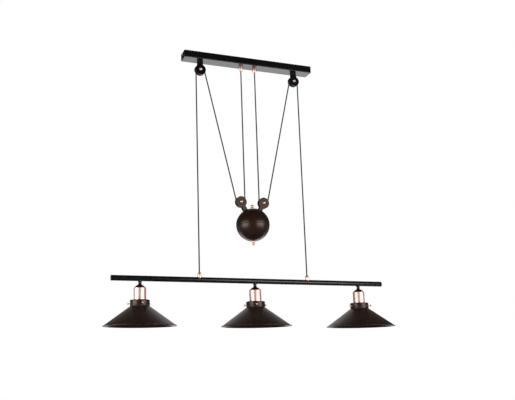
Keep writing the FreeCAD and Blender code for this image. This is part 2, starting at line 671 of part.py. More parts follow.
# ---- flexes ----
def slant():
    """Tangent points of the flex's slanted run: outside the running wheel, inside the fixed one."""
    low = Vec(RUNNING_PULLEY_X, 0, RUNNING_PULLEY_Z)
    high = Vec(FIXED_PULLEY_X, 0, FIXED_PULLEY_Z)
    between = high - low
    lean = math.atan2(between.x, between.z) - math.asin(2 * PITCH_RADIUS / between.Length)
    outward = Vec(math.cos(lean), 0, -math.sin(lean))
    return low, high, outward


def arc_about(centre, first, last):
    """Arc of the flex's centre line round a wheel, between two outward directions."""
    middle = (first + last).normalize()
    return Part.Arc(centre + first * PITCH_RADIUS, centre + middle * PITCH_RADIUS,
                    centre + last * PITCH_RADIUS).toShape()


def cord_loop():
    """Flex from inside the cover, down round the running wheel and up to the fixed wheel's top."""
    low, high, outward = slant()
    top = Vec(COVER_GRIP_X, 0, FLEX_TOP)
    edges = [Part.LineSegment(top, low - X * PITCH_RADIUS).toShape(), arc_about(low, -X, -Z),
             arc_about(low, -Z, outward),
             Part.LineSegment(low + outward * PITCH_RADIUS, high - outward * PITCH_RADIUS).toShape(),
             arc_about(high, -outward, Z)]
    return edges


def cord_drop():
    """Flex from the fixed wheel's top, down its outer side and into the lamp bar."""
    high = slant()[1]
    foot = Vec(BAR_GRIP_X, 0, BAR_CORE_RADIUS + FLEX_GAP - BAR_DROP)
    return [arc_about(high, Z, X), Part.LineSegment(high + X * PITCH_RADIUS, foot).toShape()]


def flex(edges, side, name):
    body = side_of(pipe(edges, FLEX_RADIUS), side)
    length = sum(edge.Length for edge in edges)
    print("%s: length %.1f mm, tightest radius %.1f mm, volume is %.4f of section times length"
          % (name, length, PITCH_RADIUS, body.Volume / (math.pi * FLEX_RADIUS ** 2 * length)))
    return body


# ---- lamp bar ----
def on_bar(shape):
    return moved(shape, Vec(0, 0, -BAR_DROP))


def at_lamp(shape, lamp):
    return moved(shape, Vec(LAMPS[lamp] * LAMP_SPACING, 0, -BAR_DROP))


def at_every_lamp(shape):
    return group(at_lamp(shape, lamp) for lamp in LAMPS)


def bar_tube():
    half = BAR_LENGTH / 2 - BAR_CAP_FLANGE
    tube = rod(BAR_RADIUS, X * -half, X * half)
    tube = tube.cut(rod(BAR_RADIUS - BAR_WALL, X * -(half + 1), X * (half + 1)))
    for side in SIDES.values():
        hole = side * BAR_GRIP_X
        tube = tube.cut(rod(GRIP_SPIGOT_RADIUS + HOLE_FIT, Vec(hole, 0, 0), Vec(hole, 0, 2 * BAR_RADIUS)))
    for place in LAMPS.values():
        x = place * LAMP_SPACING
        tube = tube.cut(rod(NIPPLE_RADIUS + THREAD_FIT, Vec(x, 0, 0), Vec(x, 0, -2 * BAR_RADIUS)))
    return on_bar(tube)


def bar_end_caps():
    """Hollow plugs with a flush flange whose outer edge is eased."""
    plug = BAR_RADIUS - BAR_WALL - SEAT_GAP
    edge = BAR_CAP_FLANGE / 2
    cap = turned((0, 0), (plug - BAR_CAP_WALL, 0), (plug - BAR_CAP_WALL, -BAR_CAP_PLUG),
                 (plug, -BAR_CAP_PLUG), (plug, 0), (BAR_RADIUS, 0), (BAR_RADIUS, BAR_CAP_FLANGE - edge),
                 bend((BAR_RADIUS - edge, BAR_CAP_FLANGE - edge), edge, 0, 90), (0, BAR_CAP_FLANGE))
    place = BAR_LENGTH / 2 - BAR_CAP_FLANGE
    return on_bar(group(moved(cap, X * side * place, X * side) for side in SIDES.values()))


def bar_wiring():
    """Two cores along the bar, each with a drop through every nipple to the lampholder."""
    cores = []
    half = LAMP_SPACING + BAR_CORE_RADIUS
    for y in (-BAR_CORE_OFFSET, BAR_CORE_OFFSET):
        core = rod(BAR_CORE_RADIUS, Vec(-half, y, 0), Vec(half, y, 0))
        drops = [rod(BAR_CORE_RADIUS, Vec(place * LAMP_SPACING, y, 0),
                     Vec(place * LAMP_SPACING, y, INSERT_TOP)) for place in LAMPS.values()]
        cores.append(core.fuse(drops).removeSplitter())
    return on_bar(group(cores))


# ---- one lamp: z = 0 on the bar's axis ----
def lamp_nipple():
    foot = CAP_TOP - CAP_SHEET - NIPPLE_NUT_HEIGHT - NIPPLE_TAIL
    return ring(NIPPLE_RADIUS, NIPPLE_BORE_RADIUS, foot, BAR_WALL + NIPPLE_TAIL - BAR_RADIUS)


def lamp_neck():
    """Waisted spacer, saddled on the bar."""
    bore = NIPPLE_RADIUS + HOLE_FIT
    waist = (NECK_TOP + CAP_TOP) / 2
    below = tapered(NECK_WAIST_RADIUS, waist, NECK_FOOT_RADIUS, CAP_TOP)
    above = tapered(NECK_WAIST_RADIUS, waist, NECK_TOP_RADIUS, NECK_TOP)
    neck = turned((bore, CAP_TOP), (NECK_FOOT_RADIUS, CAP_TOP), (below[0], (NECK_WAIST_RADIUS, waist)),
                  above, (NECK_TOP_RADIUS, 0), (bore, 0))
    return neck.cut(rod(BAR_RADIUS + SEAT_GAP, X * -BAR_RADIUS, X * BAR_RADIUS))


def nipple_nut():
    nut = hex_nut(NIPPLE_NUT_FLATS, NIPPLE_NUT_HEIGHT, NIPPLE_RADIUS + THREAD_FIT)
    return moved(nut, Vec(0, 0, CAP_TOP - CAP_SHEET - NIPPLE_NUT_HEIGHT))


def lamp_cap():
    """Thin dome whose rim sits on the sleeve's mouth, with a spigot that screws into it."""
    mouth = CAP_RIM_RADIUS - SLEEVE_WALL
    spigot_foot = SLEEVE_TOP - CAP_SPIGOT
    hole = NIPPLE_RADIUS + HOLE_FIT
    outer = (CAP_RIM_RADIUS * CAP_BULGE_OUT, SLEEVE_TOP + CAP_HEIGHT * CAP_BULGE_UP)
    inner = (outer[0] - CAP_SHEET, outer[1] - CAP_SHEET)
    seat = mouth - SEAT_GAP - CAP_SHEET
    return turned((hole, CAP_TOP), (NECK_FOOT_RADIUS, CAP_TOP), (outer, (CAP_RIM_RADIUS, SLEEVE_TOP)),
                  (mouth - SEAT_GAP, SLEEVE_TOP), (mouth - SEAT_GAP, spigot_foot), (seat, spigot_foot),
                  (seat, SLEEVE_TOP), (inner, (NIPPLE_NUT_FLATS * CAP_INSIDE_EDGE, CAP_TOP - CAP_SHEET)),
                  (hole, CAP_TOP - CAP_SHEET))


def lamp_sleeve():
    """Thin copper tube with a rounded shoulder, a bead above the gallery and an inner lip."""
    inner = SLEEVE_RADIUS - SLEEVE_WALL
    mouth = CAP_RIM_RADIUS - SLEEVE_WALL
    centre = (SLEEVE_RADIUS - SLEEVE_SHOULDER, SLEEVE_TOP - SLEEVE_SHOULDER)
    bead = SLEEVE_RADIUS + SLEEVE_BEAD
    bead_top = GALLERY_TOP + SLEEVE_BEAD_HEIGHT
    return turned((mouth, SLEEVE_TOP), (centre[0], SLEEVE_TOP), bend(centre, SLEEVE_SHOULDER, 90, 0),
                  (SLEEVE_RADIUS, bead_top), (bead, (bead_top + GALLERY_TOP) / 2), (bead, GALLERY_TOP),
                  (SLEEVE_RADIUS, GALLERY_TOP), (SLEEVE_RADIUS, SLEEVE_FOOT),
                  (SOCKET_OUTER + SLEEVE_WALL, SLEEVE_FOOT),
                  (SOCKET_OUTER + SLEEVE_WALL, SLEEVE_FOOT + SLEEVE_WALL),
                  (inner, SLEEVE_FOOT + SLEEVE_WALL), (inner, centre[1]),
                  bend(centre, SLEEVE_SHOULDER - SLEEVE_WALL, 0, 90), (mouth, SLEEVE_TOP - SLEEVE_WALL))


def holder_insert():
    """Ceramic body with the socket's cavity below."""
    radius = SLEEVE_RADIUS - SLEEVE_WALL - INSERT_FIT
    cavity = SOCKET_OUTER + SEAT_GAP
    return turned((0, SOCKET_CEILING), (cavity, SOCKET_CEILING), (cavity, INSERT_FOOT),
                  (radius, INSERT_FOOT), (radius, INSERT_TOP), (0, INSERT_TOP))


def screw_shell():
    """Socket shell: a cup with a rounded corner and an eye for the centre contact."""
    foot = SOCKET_CEILING - SOCKET_LENGTH
    outer_corner = SOCKET_CORNER + SOCKET_WALL
    centre = (SOCKET_OUTER - outer_corner, SOCKET_CEILING - outer_corner)
    return turned((SOCKET_EYE_RADIUS, SOCKET_CEILING), (centre[0], SOCKET_CEILING),
                  bend(centre, outer_corner, 90, 0), (SOCKET_OUTER, foot), (SOCKET_RADIUS, foot),
                  (SOCKET_RADIUS, centre[1]), bend(centre, SOCKET_CORNER, 0, 90),
                  (SOCKET_EYE_RADIUS, SOCKET_CEILING - SOCKET_WALL))


def centre_contact():
    return turned((0, SOCKET_CEILING), (CONTACT_RADIUS, SOCKET_CEILING),
                  dome(CONTACT_RADIUS, SOCKET_CEILING, SOCKET_CEILING - CONTACT_HEIGHT))


def gallery(lamp):
    """Spun cup over the sleeve, with holes for the thumb screws."""
    inner = GALLERY_RADIUS - GALLERY_SHEET
    corner = (GALLERY_RADIUS - GALLERY_CORNER, GALLERY_TOP - GALLERY_CORNER)
    cup = turned((SLEEVE_RADIUS + SEAT_GAP, GALLERY_TOP), (corner[0], GALLERY_TOP),
                 bend(corner, GALLERY_CORNER, 90, 0), (GALLERY_RADIUS, GALLERY_FOOT),
                 (inner, GALLERY_FOOT), (inner, corner[1]),
                 bend(corner, GALLERY_CORNER - GALLERY_SHEET, 0, 90),
                 (SLEEVE_RADIUS + SEAT_GAP, GALLERY_TOP - GALLERY_SHEET))
    for way in thumb_screw_ways(lamp):
        level = Vec(0, 0, GALLERY_TOP - THUMB_SCREW_DROP)
        cup = cup.cut(rod(THUMB_SHANK_RADIUS + THREAD_FIT, level, level + way * 2 * GALLERY_RADIUS))
    return at_lamp(cup, lamp)


def lock_ring():
    top = GALLERY_TOP - GALLERY_SHEET
    return ring(LOCK_RING_RADIUS, SLEEVE_RADIUS + THREAD_FIT, top - LOCK_RING_HEIGHT, top)


def thumb_screw_ways(lamp):
    """Directions of a lamp's thumb screws, evenly spaced from its own turn off the front."""
    step = 360 / THUMB_SCREW_COUNT
    angles = [math.radians(LAMP_TURN[lamp] + i * step) for i in range(THUMB_SCREW_COUNT)]
    return [Vec(math.sin(a), -math.cos(a), 0) for a in angles]


def thumb_screws(lamp):
    """Screws with a domed head outside the gallery and a tip near the shade's collar."""
    seat = GALLERY_RADIUS + THUMB_HEAD_STANDOFF
    tip = SHADE_COLLAR_RADIUS + COLLAR_GAP
    end = seat + THUMB_HEAD_LENGTH
    one = turned((0, tip), (THUMB_SHANK_RADIUS, tip), (THUMB_SHANK_RADIUS, seat),
                 (THUMB_HEAD_RADIUS, seat), (THUMB_HEAD_RADIUS, end - THUMB_HEAD_CROWN),
                 dome(THUMB_HEAD_RADIUS, end - THUMB_HEAD_CROWN, end))
    level = Vec(0, 0, GALLERY_TOP - THUMB_SCREW_DROP)
    return at_lamp(group(moved(one, level, way) for way in thumb_screw_ways(lamp)), lamp)


def shade_collar():
    """Tube swaged into the shade's crown: a lip above, inside the gallery, and a flange below."""
    inner = SHADE_COLLAR_RADIUS - SHADE_SHEET
    top = SHADE_CROWN + SHADE_COLLAR_HEIGHT
    lip = SHADE_COLLAR_RADIUS + SHADE_LIP
    flange = SHADE_COLLAR_RADIUS + SHADE_FLANGE
    flange_top = SHADE_CROWN - SHADE_SHEET - SEAT_GAP
    foot = flange_top - SHADE_SHEET
    return turned((inner, top), (lip, top), (lip, top - SHADE_SHEET),
                  (SHADE_COLLAR_RADIUS, top - SHADE_SHEET), (SHADE_COLLAR_RADIUS, flange_top),
                  (flange, flange_top), (flange, foot), (inner, foot))


def shade(lamp):
    """Coolie shade: a flat crown round its collar, a cone and a rolled hem."""
    slope = math.atan2(SHADE_HEIGHT, SHADE_RADIUS - SHADE_CROWN_RADIUS)
    across, down = SHADE_SHEET * math.sin(slope), SHADE_SHEET * math.cos(slope)
    hole = SHADE_COLLAR_RADIUS + SEAT_GAP
    hem = (SHADE_RADIUS - SHADE_HEM_RADIUS, SHADE_RIM + SHADE_HEM_RADIUS)
    steep = (hem[1] - SHADE_CROWN) / (hem[0] - SHADE_CROWN_RADIUS)
    inner_crown = SHADE_CROWN - SHADE_SHEET
    inner_start = SHADE_CROWN_RADIUS - across + (SHADE_SHEET - down) / steep
    cone = turned((hole, SHADE_CROWN), (SHADE_CROWN_RADIUS, SHADE_CROWN), hem,
                  (hem[0] - across, hem[1] - down), (inner_start, inner_crown), (hole, inner_crown))
    rolled = Part.makeTorus(hem[0], SHADE_HEM_RADIUS, at(0, hem[1]), Z)
    return at_lamp(cone.fuse(rolled), lamp)


# ---- all pieces by name ----
def pieces():
    made = {
        "canopy_cover": ceiling_cover(),
        "ceiling_bracket": ceiling_strap(),
        "cover_screws": cover_screws(),
        "terminal_block": terminal_block(),
        "terminal_screws": terminal_screws(),
        "block_screw": block_screw(),
        "earth_screw": earth_screw(),
        "canopy_wiring": canopy_wiring(),
        "canopy_grip_nuts": cover_grip_nuts(),
        "canopy_grip_screws": cover_grip_screws(),
        "upper_yoke_bolts": fixed_bolts(),
        "upper_yoke_washers": fixed_washers(),
        "upper_yoke_nuts": fixed_nuts(),
        "upper_axles": pulley_fixings(at_fixed_pulley, [axle()]),
        "upper_axle_caps": pulley_fixings(at_fixed_pulley, [axle_cap(-1), axle_cap(1)]),
        "weight_shell_upper": weight_shell(1),
        "weight_shell_lower": weight_shell(-1),
        "weight_core": weight_core(),
        "weight_rod": weight_rod(),
        "top_finial": top_finial(),
        "bottom_finial": bottom_finial(),
        "lower_yoke_bolts": running_bolts(),
        "lower_axles": pulley_fixings(at_running_pulley, [axle()]),
        "lower_axle_caps": pulley_fixings(at_running_pulley, [axle_cap(-1), axle_cap(1)]),
        "bar_tube": bar_tube(),
        "bar_end_caps": bar_end_caps(),
        "bar_grip_screws": bar_grip_screws(),
        "bar_wiring": bar_wiring(),
        "lamp_nipples": at_every_lamp(lamp_nipple()),
        "lamp_necks": at_every_lamp(lamp_neck()),
        "nipple_nuts": at_every_lamp(nipple_nut()),
        "lamp_caps": at_every_lamp(lamp_cap()),
        "lamp_sleeves": at_every_lamp(lamp_sleeve()),
        "holder_inserts": at_every_lamp(holder_insert()),
        "screw_shells": at_every_lamp(screw_shell()),
        "centre_contacts": at_every_lamp(centre_contact()),
        "gallery_rings": at_every_lamp(lock_ring()),
        "shade_collars": at_every_lamp(shade_collar()),
        "galleries": group(gallery(lamp) for lamp in LAMPS),
        "thumb_screws": group(thumb_screws(lamp) for lamp in LAMPS),
    }
    fixed_yoke = yoke(FIXED_ARM_WIDTH, FIXED_PULLEY_DROP)
    running_yoke = yoke(RUNNING_ARM_WIDTH, RUNNING_PULLEY_REACH - WEIGHT_SEAT)
    for name, side in SIDES.items():
        made["canopy_grip_" + name] = cover_grip(side)
        made["bar_grip_" + name] = bar_grip(side)
        made["upper_yoke_" + name] = at_fixed_pulley(fixed_yoke, side)
        made["lower_yoke_" + name] = at_running_pulley(running_yoke, side)
        made["upper_wheel_" + name] = at_fixed_pulley(wheel(), side)
        made["lower_wheel_" + name] = at_running_pulley(wheel(), side)
        made["cord_loop_" + name] = flex(cord_loop(), side, "cord_loop_" + name)
        made["cord_drop_" + name] = flex(cord_drop(), side, "cord_drop_" + name)
    for lamp in LAMPS:
        made["shade_" + lamp] = shade(lamp)
    return made


os.makedirs("parts", exist_ok=True)
for node, shape in pieces().items():
    solids = shape.Solids
    if not shape.isValid() or any(solid.Volume <= 0 for solid in solids):
        print("NOT VALID:", node)
    shape.exportStep("parts/%s.step" % node)
    print("%-22s %2d solid(s), %10.1f mm3" % (node, len(solids), sum(s.Volume for s in solids)))
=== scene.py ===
# %% [markdown]
# # Dressing a rise and fall pendant
# A long black cover sits on the ceiling. Two flexes run from it, round the pulleys of a ball-shaped
# counterweight, back up over two fixed pulleys and down to a bar with three coolie shades. When
# the bar goes down, the ball goes up at about half the speed.
# The metal pieces come from a fixed frame at their real size. This lesson gives them their
# finishes, turns the round ones finely, braids the flexes and lights the whole like a product photo.

# %% Load the frame
import json
from math import asin, atan2, ceil, copysign, cos, degrees, pi, radians, sin, sqrt, tan

import bmesh
import bpy
from mathutils import Matrix, Vector
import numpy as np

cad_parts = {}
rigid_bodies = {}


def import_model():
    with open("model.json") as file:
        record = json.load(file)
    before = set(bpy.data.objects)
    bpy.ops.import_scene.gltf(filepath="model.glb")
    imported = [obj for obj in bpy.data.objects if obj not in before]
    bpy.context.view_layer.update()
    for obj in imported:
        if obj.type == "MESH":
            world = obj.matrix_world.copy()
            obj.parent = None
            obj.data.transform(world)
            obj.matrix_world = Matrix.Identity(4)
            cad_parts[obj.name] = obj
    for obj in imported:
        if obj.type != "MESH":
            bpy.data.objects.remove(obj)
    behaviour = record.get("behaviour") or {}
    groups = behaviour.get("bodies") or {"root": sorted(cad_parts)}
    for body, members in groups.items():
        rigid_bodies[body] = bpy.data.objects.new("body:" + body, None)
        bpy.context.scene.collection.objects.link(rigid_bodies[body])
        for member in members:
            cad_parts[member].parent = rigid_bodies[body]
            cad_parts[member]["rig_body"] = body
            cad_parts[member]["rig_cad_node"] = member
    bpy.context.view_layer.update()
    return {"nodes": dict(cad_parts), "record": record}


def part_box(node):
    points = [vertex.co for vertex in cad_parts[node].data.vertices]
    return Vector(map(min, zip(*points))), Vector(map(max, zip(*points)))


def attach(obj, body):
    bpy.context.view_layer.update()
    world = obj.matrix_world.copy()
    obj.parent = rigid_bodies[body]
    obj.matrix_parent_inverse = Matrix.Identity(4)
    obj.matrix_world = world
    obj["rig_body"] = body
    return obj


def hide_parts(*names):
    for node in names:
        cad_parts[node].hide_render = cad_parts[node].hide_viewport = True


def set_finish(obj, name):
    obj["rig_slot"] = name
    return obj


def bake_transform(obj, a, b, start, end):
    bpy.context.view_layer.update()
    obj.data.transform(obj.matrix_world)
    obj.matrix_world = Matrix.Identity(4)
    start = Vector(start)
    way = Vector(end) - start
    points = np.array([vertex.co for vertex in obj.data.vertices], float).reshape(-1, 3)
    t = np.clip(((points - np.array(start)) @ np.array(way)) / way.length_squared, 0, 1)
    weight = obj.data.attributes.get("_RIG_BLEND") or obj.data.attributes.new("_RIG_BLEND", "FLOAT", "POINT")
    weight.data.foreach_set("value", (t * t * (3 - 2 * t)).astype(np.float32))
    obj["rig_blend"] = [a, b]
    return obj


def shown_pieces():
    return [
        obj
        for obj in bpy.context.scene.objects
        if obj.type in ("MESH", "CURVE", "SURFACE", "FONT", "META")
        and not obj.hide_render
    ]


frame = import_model()
MM = 0.001
SIDES = {"left": -1, "right": 1}
LAMPS = ("left", "middle", "right")
SLOT_OF = {part["node"]: part["material_slot"] for part in frame["record"]["subparts"]}
BODY_OF = {name: node["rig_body"] for name, node in frame["nodes"].items()}

# %% [markdown]
# ## Places
# Every piece goes where the frame has it, so the script asks the frame instead of measuring again:
# the wheels give the pulley axles, the shades give the lamp axes, and the tube gives the bar's axis.

# %% Pulley axles, lamp axes, bar and ball
def centre(node):
    low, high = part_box(node)
    return (low + high) / 2


def heights(node):
    """Lowest and highest z of a node, in metres."""
    low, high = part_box(node)
    return low.z, high.z


FIXED = {side: centre("upper_wheel_" + side) for side in SIDES}
RUNNING = {side: centre("lower_wheel_" + side) for side in SIDES}
LAMP_X = {lamp: centre("shade_" + lamp).x for lamp in LAMPS}
BAR = centre("bar_tube")
BALL = Vector((0, 0, heights("weight_shell_upper")[0]))
BALL_RADIUS = (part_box("weight_shell_upper")[1].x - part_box("weight_shell_upper")[0].x) / 2
print("ball of radius %.4f m at z %.4f m" % (BALL_RADIUS, BALL.z))

# %% [markdown]
# ## Camera
# The photograph was taken from the left, a little below the shades, looking up at the ball. The
# place, turn and focal length were solved from the outline. The optical centre lies left of and
# below the picture's middle, because the photograph is a crop, and the camera's shift says so.

# %% The camera at the photograph's viewpoint
def show(name, data):
    """A new object with this data, linked into the scene."""
    made = bpy.data.objects.new(name, data)
    bpy.context.scene.collection.objects.link(made)
    return made


PHOTO_WIDTH, PHOTO_HEIGHT = 515, 400
SENSOR = 36.0
CAMERA_PLACE = Vector((-0.9774, -2.2441, -1.1691))
CAMERA_YAW, CAMERA_PITCH, CAMERA_ROLL = (radians(a) for a in (17.986, 11.941, -0.811))
FOCAL_PIXELS = 653.66
OPTICAL_CENTRE_X, OPTICAL_CENTRE_Y = 190.58, 221.04

camera_data = bpy.data.cameras.new("photo_camera")
camera_data.sensor_width = SENSOR
camera_data.lens = FOCAL_PIXELS / PHOTO_WIDTH * SENSOR
camera_data.shift_x = (PHOTO_WIDTH / 2 - OPTICAL_CENTRE_X) / PHOTO_WIDTH
camera_data.shift_y = (OPTICAL_CENTRE_Y - PHOTO_HEIGHT / 2) / PHOTO_WIDTH
camera = show("photo_camera", camera_data)
camera.matrix_world = (Matrix.Translation(CAMERA_PLACE) @ Matrix.Rotation(-CAMERA_YAW, 4, "Z")
                       @ Matrix.Rotation(pi / 2 + CAMERA_PITCH, 4, "X")
                       @ Matrix.Rotation(CAMERA_ROLL, 4, "Z"))
bpy.context.scene.camera = camera
print("camera: %.1f mm lens, shift %.3f, %.3f"
      % (camera_data.lens, camera_data.shift_x, camera_data.shift_y))

# %% [markdown]
# ## Flexes
# Each flex is one length of 5 mm textile flex, pulled straight between the pulleys. Its route is a
# smooth line whose corners stand round each pulley like those of a nut round a circle: the line
# touches the middle of every side, so it hugs the pulley. One more point stands six diameters away
# from each pulley, so that the long runs stay straight. The tube's rings stand on the bends alone:
# a straight run is one long side, with nothing between that could bow out as the joints move.

# %% Route of one flex
FLEX_RADIUS = 2.5 * MM
PITCH_RADIUS = 17.0 * MM
FLEX_TAIL_TOP = heights("cord_loop_right")[1]
CORNERS_PER_QUARTER = 3
ROUTE_STEPS = 6
STRAIGHT_LEAD = 12 * FLEX_RADIUS


def polar(angle, radius):
    """A vector in the pendant's plane at an angle from +X towards +Z."""
    return Vector((cos(angle) * radius, 0, sin(angle) * radius))


def corners_round(pulley, begin, finish, lead_in=True, lead_out=True):
    """Corners of the route round a pulley between two touching angles, and the points beside them."""
    count = max(2, round(abs(finish - begin) / (pi / 2) * CORNERS_PER_QUARTER))
    step = (finish - begin) / count
    reach = PITCH_RADIUS * tan(abs(step) / 2)
    way = copysign(pi / 2, step)
    points = [pulley + polar(begin + (i + 0.5) * step, PITCH_RADIUS / cos(step / 2))
              for i in range(count)]
    entry, leave = pulley + polar(begin, PITCH_RADIUS), pulley + polar(finish, PITCH_RADIUS)
    back, on = polar(begin - way, 1), polar(finish + way, 1)
    before = [entry + back * STRAIGHT_LEAD, entry + back * reach] if lead_in else [entry]
    after = [leave + on * reach, leave + on * STRAIGHT_LEAD] if lead_out else [leave]
    return before + points + after


between = FIXED["right"] - RUNNING["right"]
LEAN = atan2(between.x, between.z) - asin(2 * PITCH_RADIUS / between.length)
LOOP_TOP = Vector((RUNNING["right"].x - PITCH_RADIUS, 0, FLEX_TAIL_TOP))
DROP_FOOT = Vector((FIXED["right"].x + PITCH_RADIUS, 0, heights("cord_drop_right")[0]))
LOOP_ROUTE = ([LOOP_TOP] + corners_round(RUNNING["right"], pi, 2 * pi - LEAN)
              + corners_round(FIXED["right"], pi - LEAN, pi / 2, lead_out=False))
DROP_ROUTE = corners_round(FIXED["right"], pi / 2, 0, lead_in=False) + [DROP_FOOT]
print("route: %d points in the loop, %d in the drop" % (len(LOOP_ROUTE), len(DROP_ROUTE)))


# %% Smooth line through a route, without the points that lie in line
def smooth_line(route):
    """Points read from the route's own NURBS line."""
    curve = bpy.data.curves.new("route", "CURVE")
    curve.dimensions = "3D"
    curve.resolution_u = ROUTE_STEPS
    spline = curve.splines.new("NURBS")
    spline.points.add(len(route) - 1)
    for point, place in zip(spline.points, route):
        point.co = (*place, 1)
    spline.order_u = 3
    spline.use_endpoint_u = True
    holder = show("route", curve)
    line = bpy.data.meshes.new_from_object(holder)
    places = [vertex.co.copy() for vertex in line.vertices]
    bpy.data.objects.remove(holder)
    bpy.data.curves.remove(curve)
    bpy.data.meshes.remove(line)
    return places


def bends_only(places, in_line=1e-4):
    """The two ends, and every place where the line turns."""
    kept = [places[0]]
    for place, after in zip(places[1:], places[2:]):
        turn = (place - kept[-1]).angle(after - place, 0)
        if turn > in_line:
            kept.append(place)
    return kept + [places[-1]]


# %% [markdown]
# ## From a line to a tube
# A curve with a round bevel would make the tube in one step, but it can't bend with a joint and has
# no say in where its rings stand. So a ring of edges is extruded from place to place. Each face
# also gets its share of the way round and its length along the flex in a UV map: the braid needs it.

# %% Tube along a line in the pendant's plane
TUBE_SIDES = 20


def ring_places(line, index):
    """The ring at one place of a line, square to its two neighbours' directions."""
    before, here, after = line[max(index - 1, 0)], line[index], line[min(index + 1, len(line) - 1)]
    into = (here - before).normalized() if index else (after - here).normalized()
    out = (after - here).normalized() if index < len(line) - 1 else into
    tangent = (into + out).normalized()
    across = Vector((0, 1, 0))
    side = tangent.cross(across)
    spread = 1 / max(cos(into.angle(out, 0) / 2), 0.5)
    turn = [2 * pi * i / TUBE_SIDES for i in range(TUBE_SIDES)]
    return [here + (side * cos(a) * spread + across * sin(a)) * FLEX_RADIUS for a in turn]


def mesh_of(name, shape):
    """A mesh of a shape, which is freed."""
    mesh = bpy.data.meshes.new(name)
    shape.to_mesh(mesh)
    shape.free()
    return mesh


def only(kind, geometry):
    """The elements of one kind among those that an operator gives back."""
    return [element for element in geometry if isinstance(element, kind)]


def ring_edges(shape, ring):
    return [shape.edges.get(pair) for pair in zip(ring, ring[1:] + ring[:1])]


def tube_mesh(name, line):
    """A closed tube with a UV map: u runs round it and v is the length along it in metres."""
    shape = bmesh.new()
    uv = shape.loops.layers.uv.new("along")
    lengths = [0.0]
    for before, here in zip(line, line[1:]):
        lengths.append(lengths[-1] + (here - before).length)
    ring = bmesh.ops.create_circle(shape, segments=TUBE_SIDES, radius=FLEX_RADIUS)["verts"]
    for vertex, place in zip(ring, ring_places(line, 0)):
        vertex.co = place
    shape.faces.new(ring)
    for index in range(1, len(line)):
        made = bmesh.ops.extrude_edge_only(shape, edges=ring_edges(shape, ring))["geom"]
        fresh = only(bmesh.types.BMVert, made)
        follow = {v: next(e.other_vert(v) for e in v.link_edges if e.other_vert(v) in ring)
                  for v in fresh}
        ring = [next(v for v in fresh if follow[v] == old) for old in ring]
        for vertex, place in zip(ring, ring_places(line, index)):
            vertex.co = place
        for i, edge in enumerate(ring_edges(shape, ring)):
            for loop in edge.link_faces[0].loops:
                column = i if loop.vert in (ring[i], follow[ring[i]]) else i + 1
                row = index if loop.vert in ring else index - 1
                loop[uv].uv = (column / TUBE_SIDES, lengths[row])
    shape.faces.new(ring)
    bmesh.ops.recalc_face_normals(shape, faces=shape.faces)
    for face in shape.faces:
        face.smooth = len(face.verts) == 4
    return mesh_of(name, shape), lengths[-1]


# %% The four flexes, on both sides
# The part of a flex that hangs between two bodies stretches between them. It follows the canopy
# above BLEND_TOP. Below its own lower height it follows the ball, or the lamp bar.
CLEARANCE = 4 * MM
BLEND_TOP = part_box("upper_wheel_right")[0].z - CLEARANCE
LOOP_BLEND_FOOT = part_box("lower_wheel_right")[1].z + CLEARANCE
DROP_BLEND_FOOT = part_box("bar_grip_right")[1].z + CLEARANCE


def flex(name, side, route, blend_foot, lower_body):
    mirror = Matrix.Diagonal((SIDES[side], 1, 1, 1))
    line = bends_only(smooth_line([mirror @ place for place in route]))
    mesh, length = tube_mesh("textile_" + name, line)
    cord = show("textile_" + name, mesh)
    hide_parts(name)
    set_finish(cord, SLOT_OF[name])
    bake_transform(cord, "canopy", lower_body, start=(0, 0, BLEND_TOP), end=(0, 0, blend_foot))
    print("%s: %.1f mm long, %d rings" % (name, length / MM, len(line)))


for side in SIDES:
    flex("cord_loop_" + side, side, LOOP_ROUTE, LOOP_BLEND_FOOT, "counterweight")
    flex("cord_drop_" + side, side, DROP_ROUTE, DROP_BLEND_FOOT, "lamp_bar")

# %% [markdown]
# ## Turning round pieces
# Most of this pendant is spun or turned metal. A lathe's way suits it all: half of the
# cross-section is drawn as a few points in one plane, with arcs where the metal is round, and
# `bmesh.ops.spin` carries it once round the axis. A modifier could do the same, but a real mesh
# can have its edges eased and marked for a lighter edge colour: paint rubbed thin, and a painted glint.

# %% Arcs for a profile
def arc(middle, radius, begin, finish, steps=8):
    """Points of an arc about a middle point, between two angles in degrees, both ends included."""
    angles = [radians(begin + (finish - begin) * i / steps) for i in range(steps + 1)]
    return [(middle[0] + radius * cos(a), middle[1] + radius * sin(a)) for a in angles]


def bearing(way):
    """Angle in degrees of a complex number from the radius' direction."""
    return degrees(atan2(way.imag, way.real))


def arc_through(first, between, last, steps=8):
    """Points of an arc of less than half a circle, through one point between its ends."""
    a, b, c = (complex(*point) for point in (first, between, last))
    ratio = (c - a) / (b - a)
    middle = a + (b - a) * (ratio - abs(ratio) ** 2) / (2j * ratio.imag)
    begin, sweep = bearing(a - middle), bearing((c - middle) / (a - middle))
    return arc((middle.real, middle.imag), abs(a - middle), begin, begin + sweep, steps)


def dome(radius, low, high, steps=8):
    """Points from (radius, low) to the axis at high, on an arc centred on the axis."""
    rise = high - low
    ball = (radius ** 2 + rise ** 2) / (2 * abs(rise))
    middle = high - copysign(ball, rise)
    begin = degrees(atan2(low - middle, radius))
    return arc((0, middle), ball, begin, copysign(90, rise), steps)[:-1] + [(0, high)]


# %% Spin, ease and finish a piece
TURN_STEPS, SMALL_STEPS = 96, 48
SHARP = radians(32)
WELD = 1e-6
CLOSE = 10 * WELD
EDGE_EASE, SMALL_EASE = 0.3 * MM, 0.25 * MM


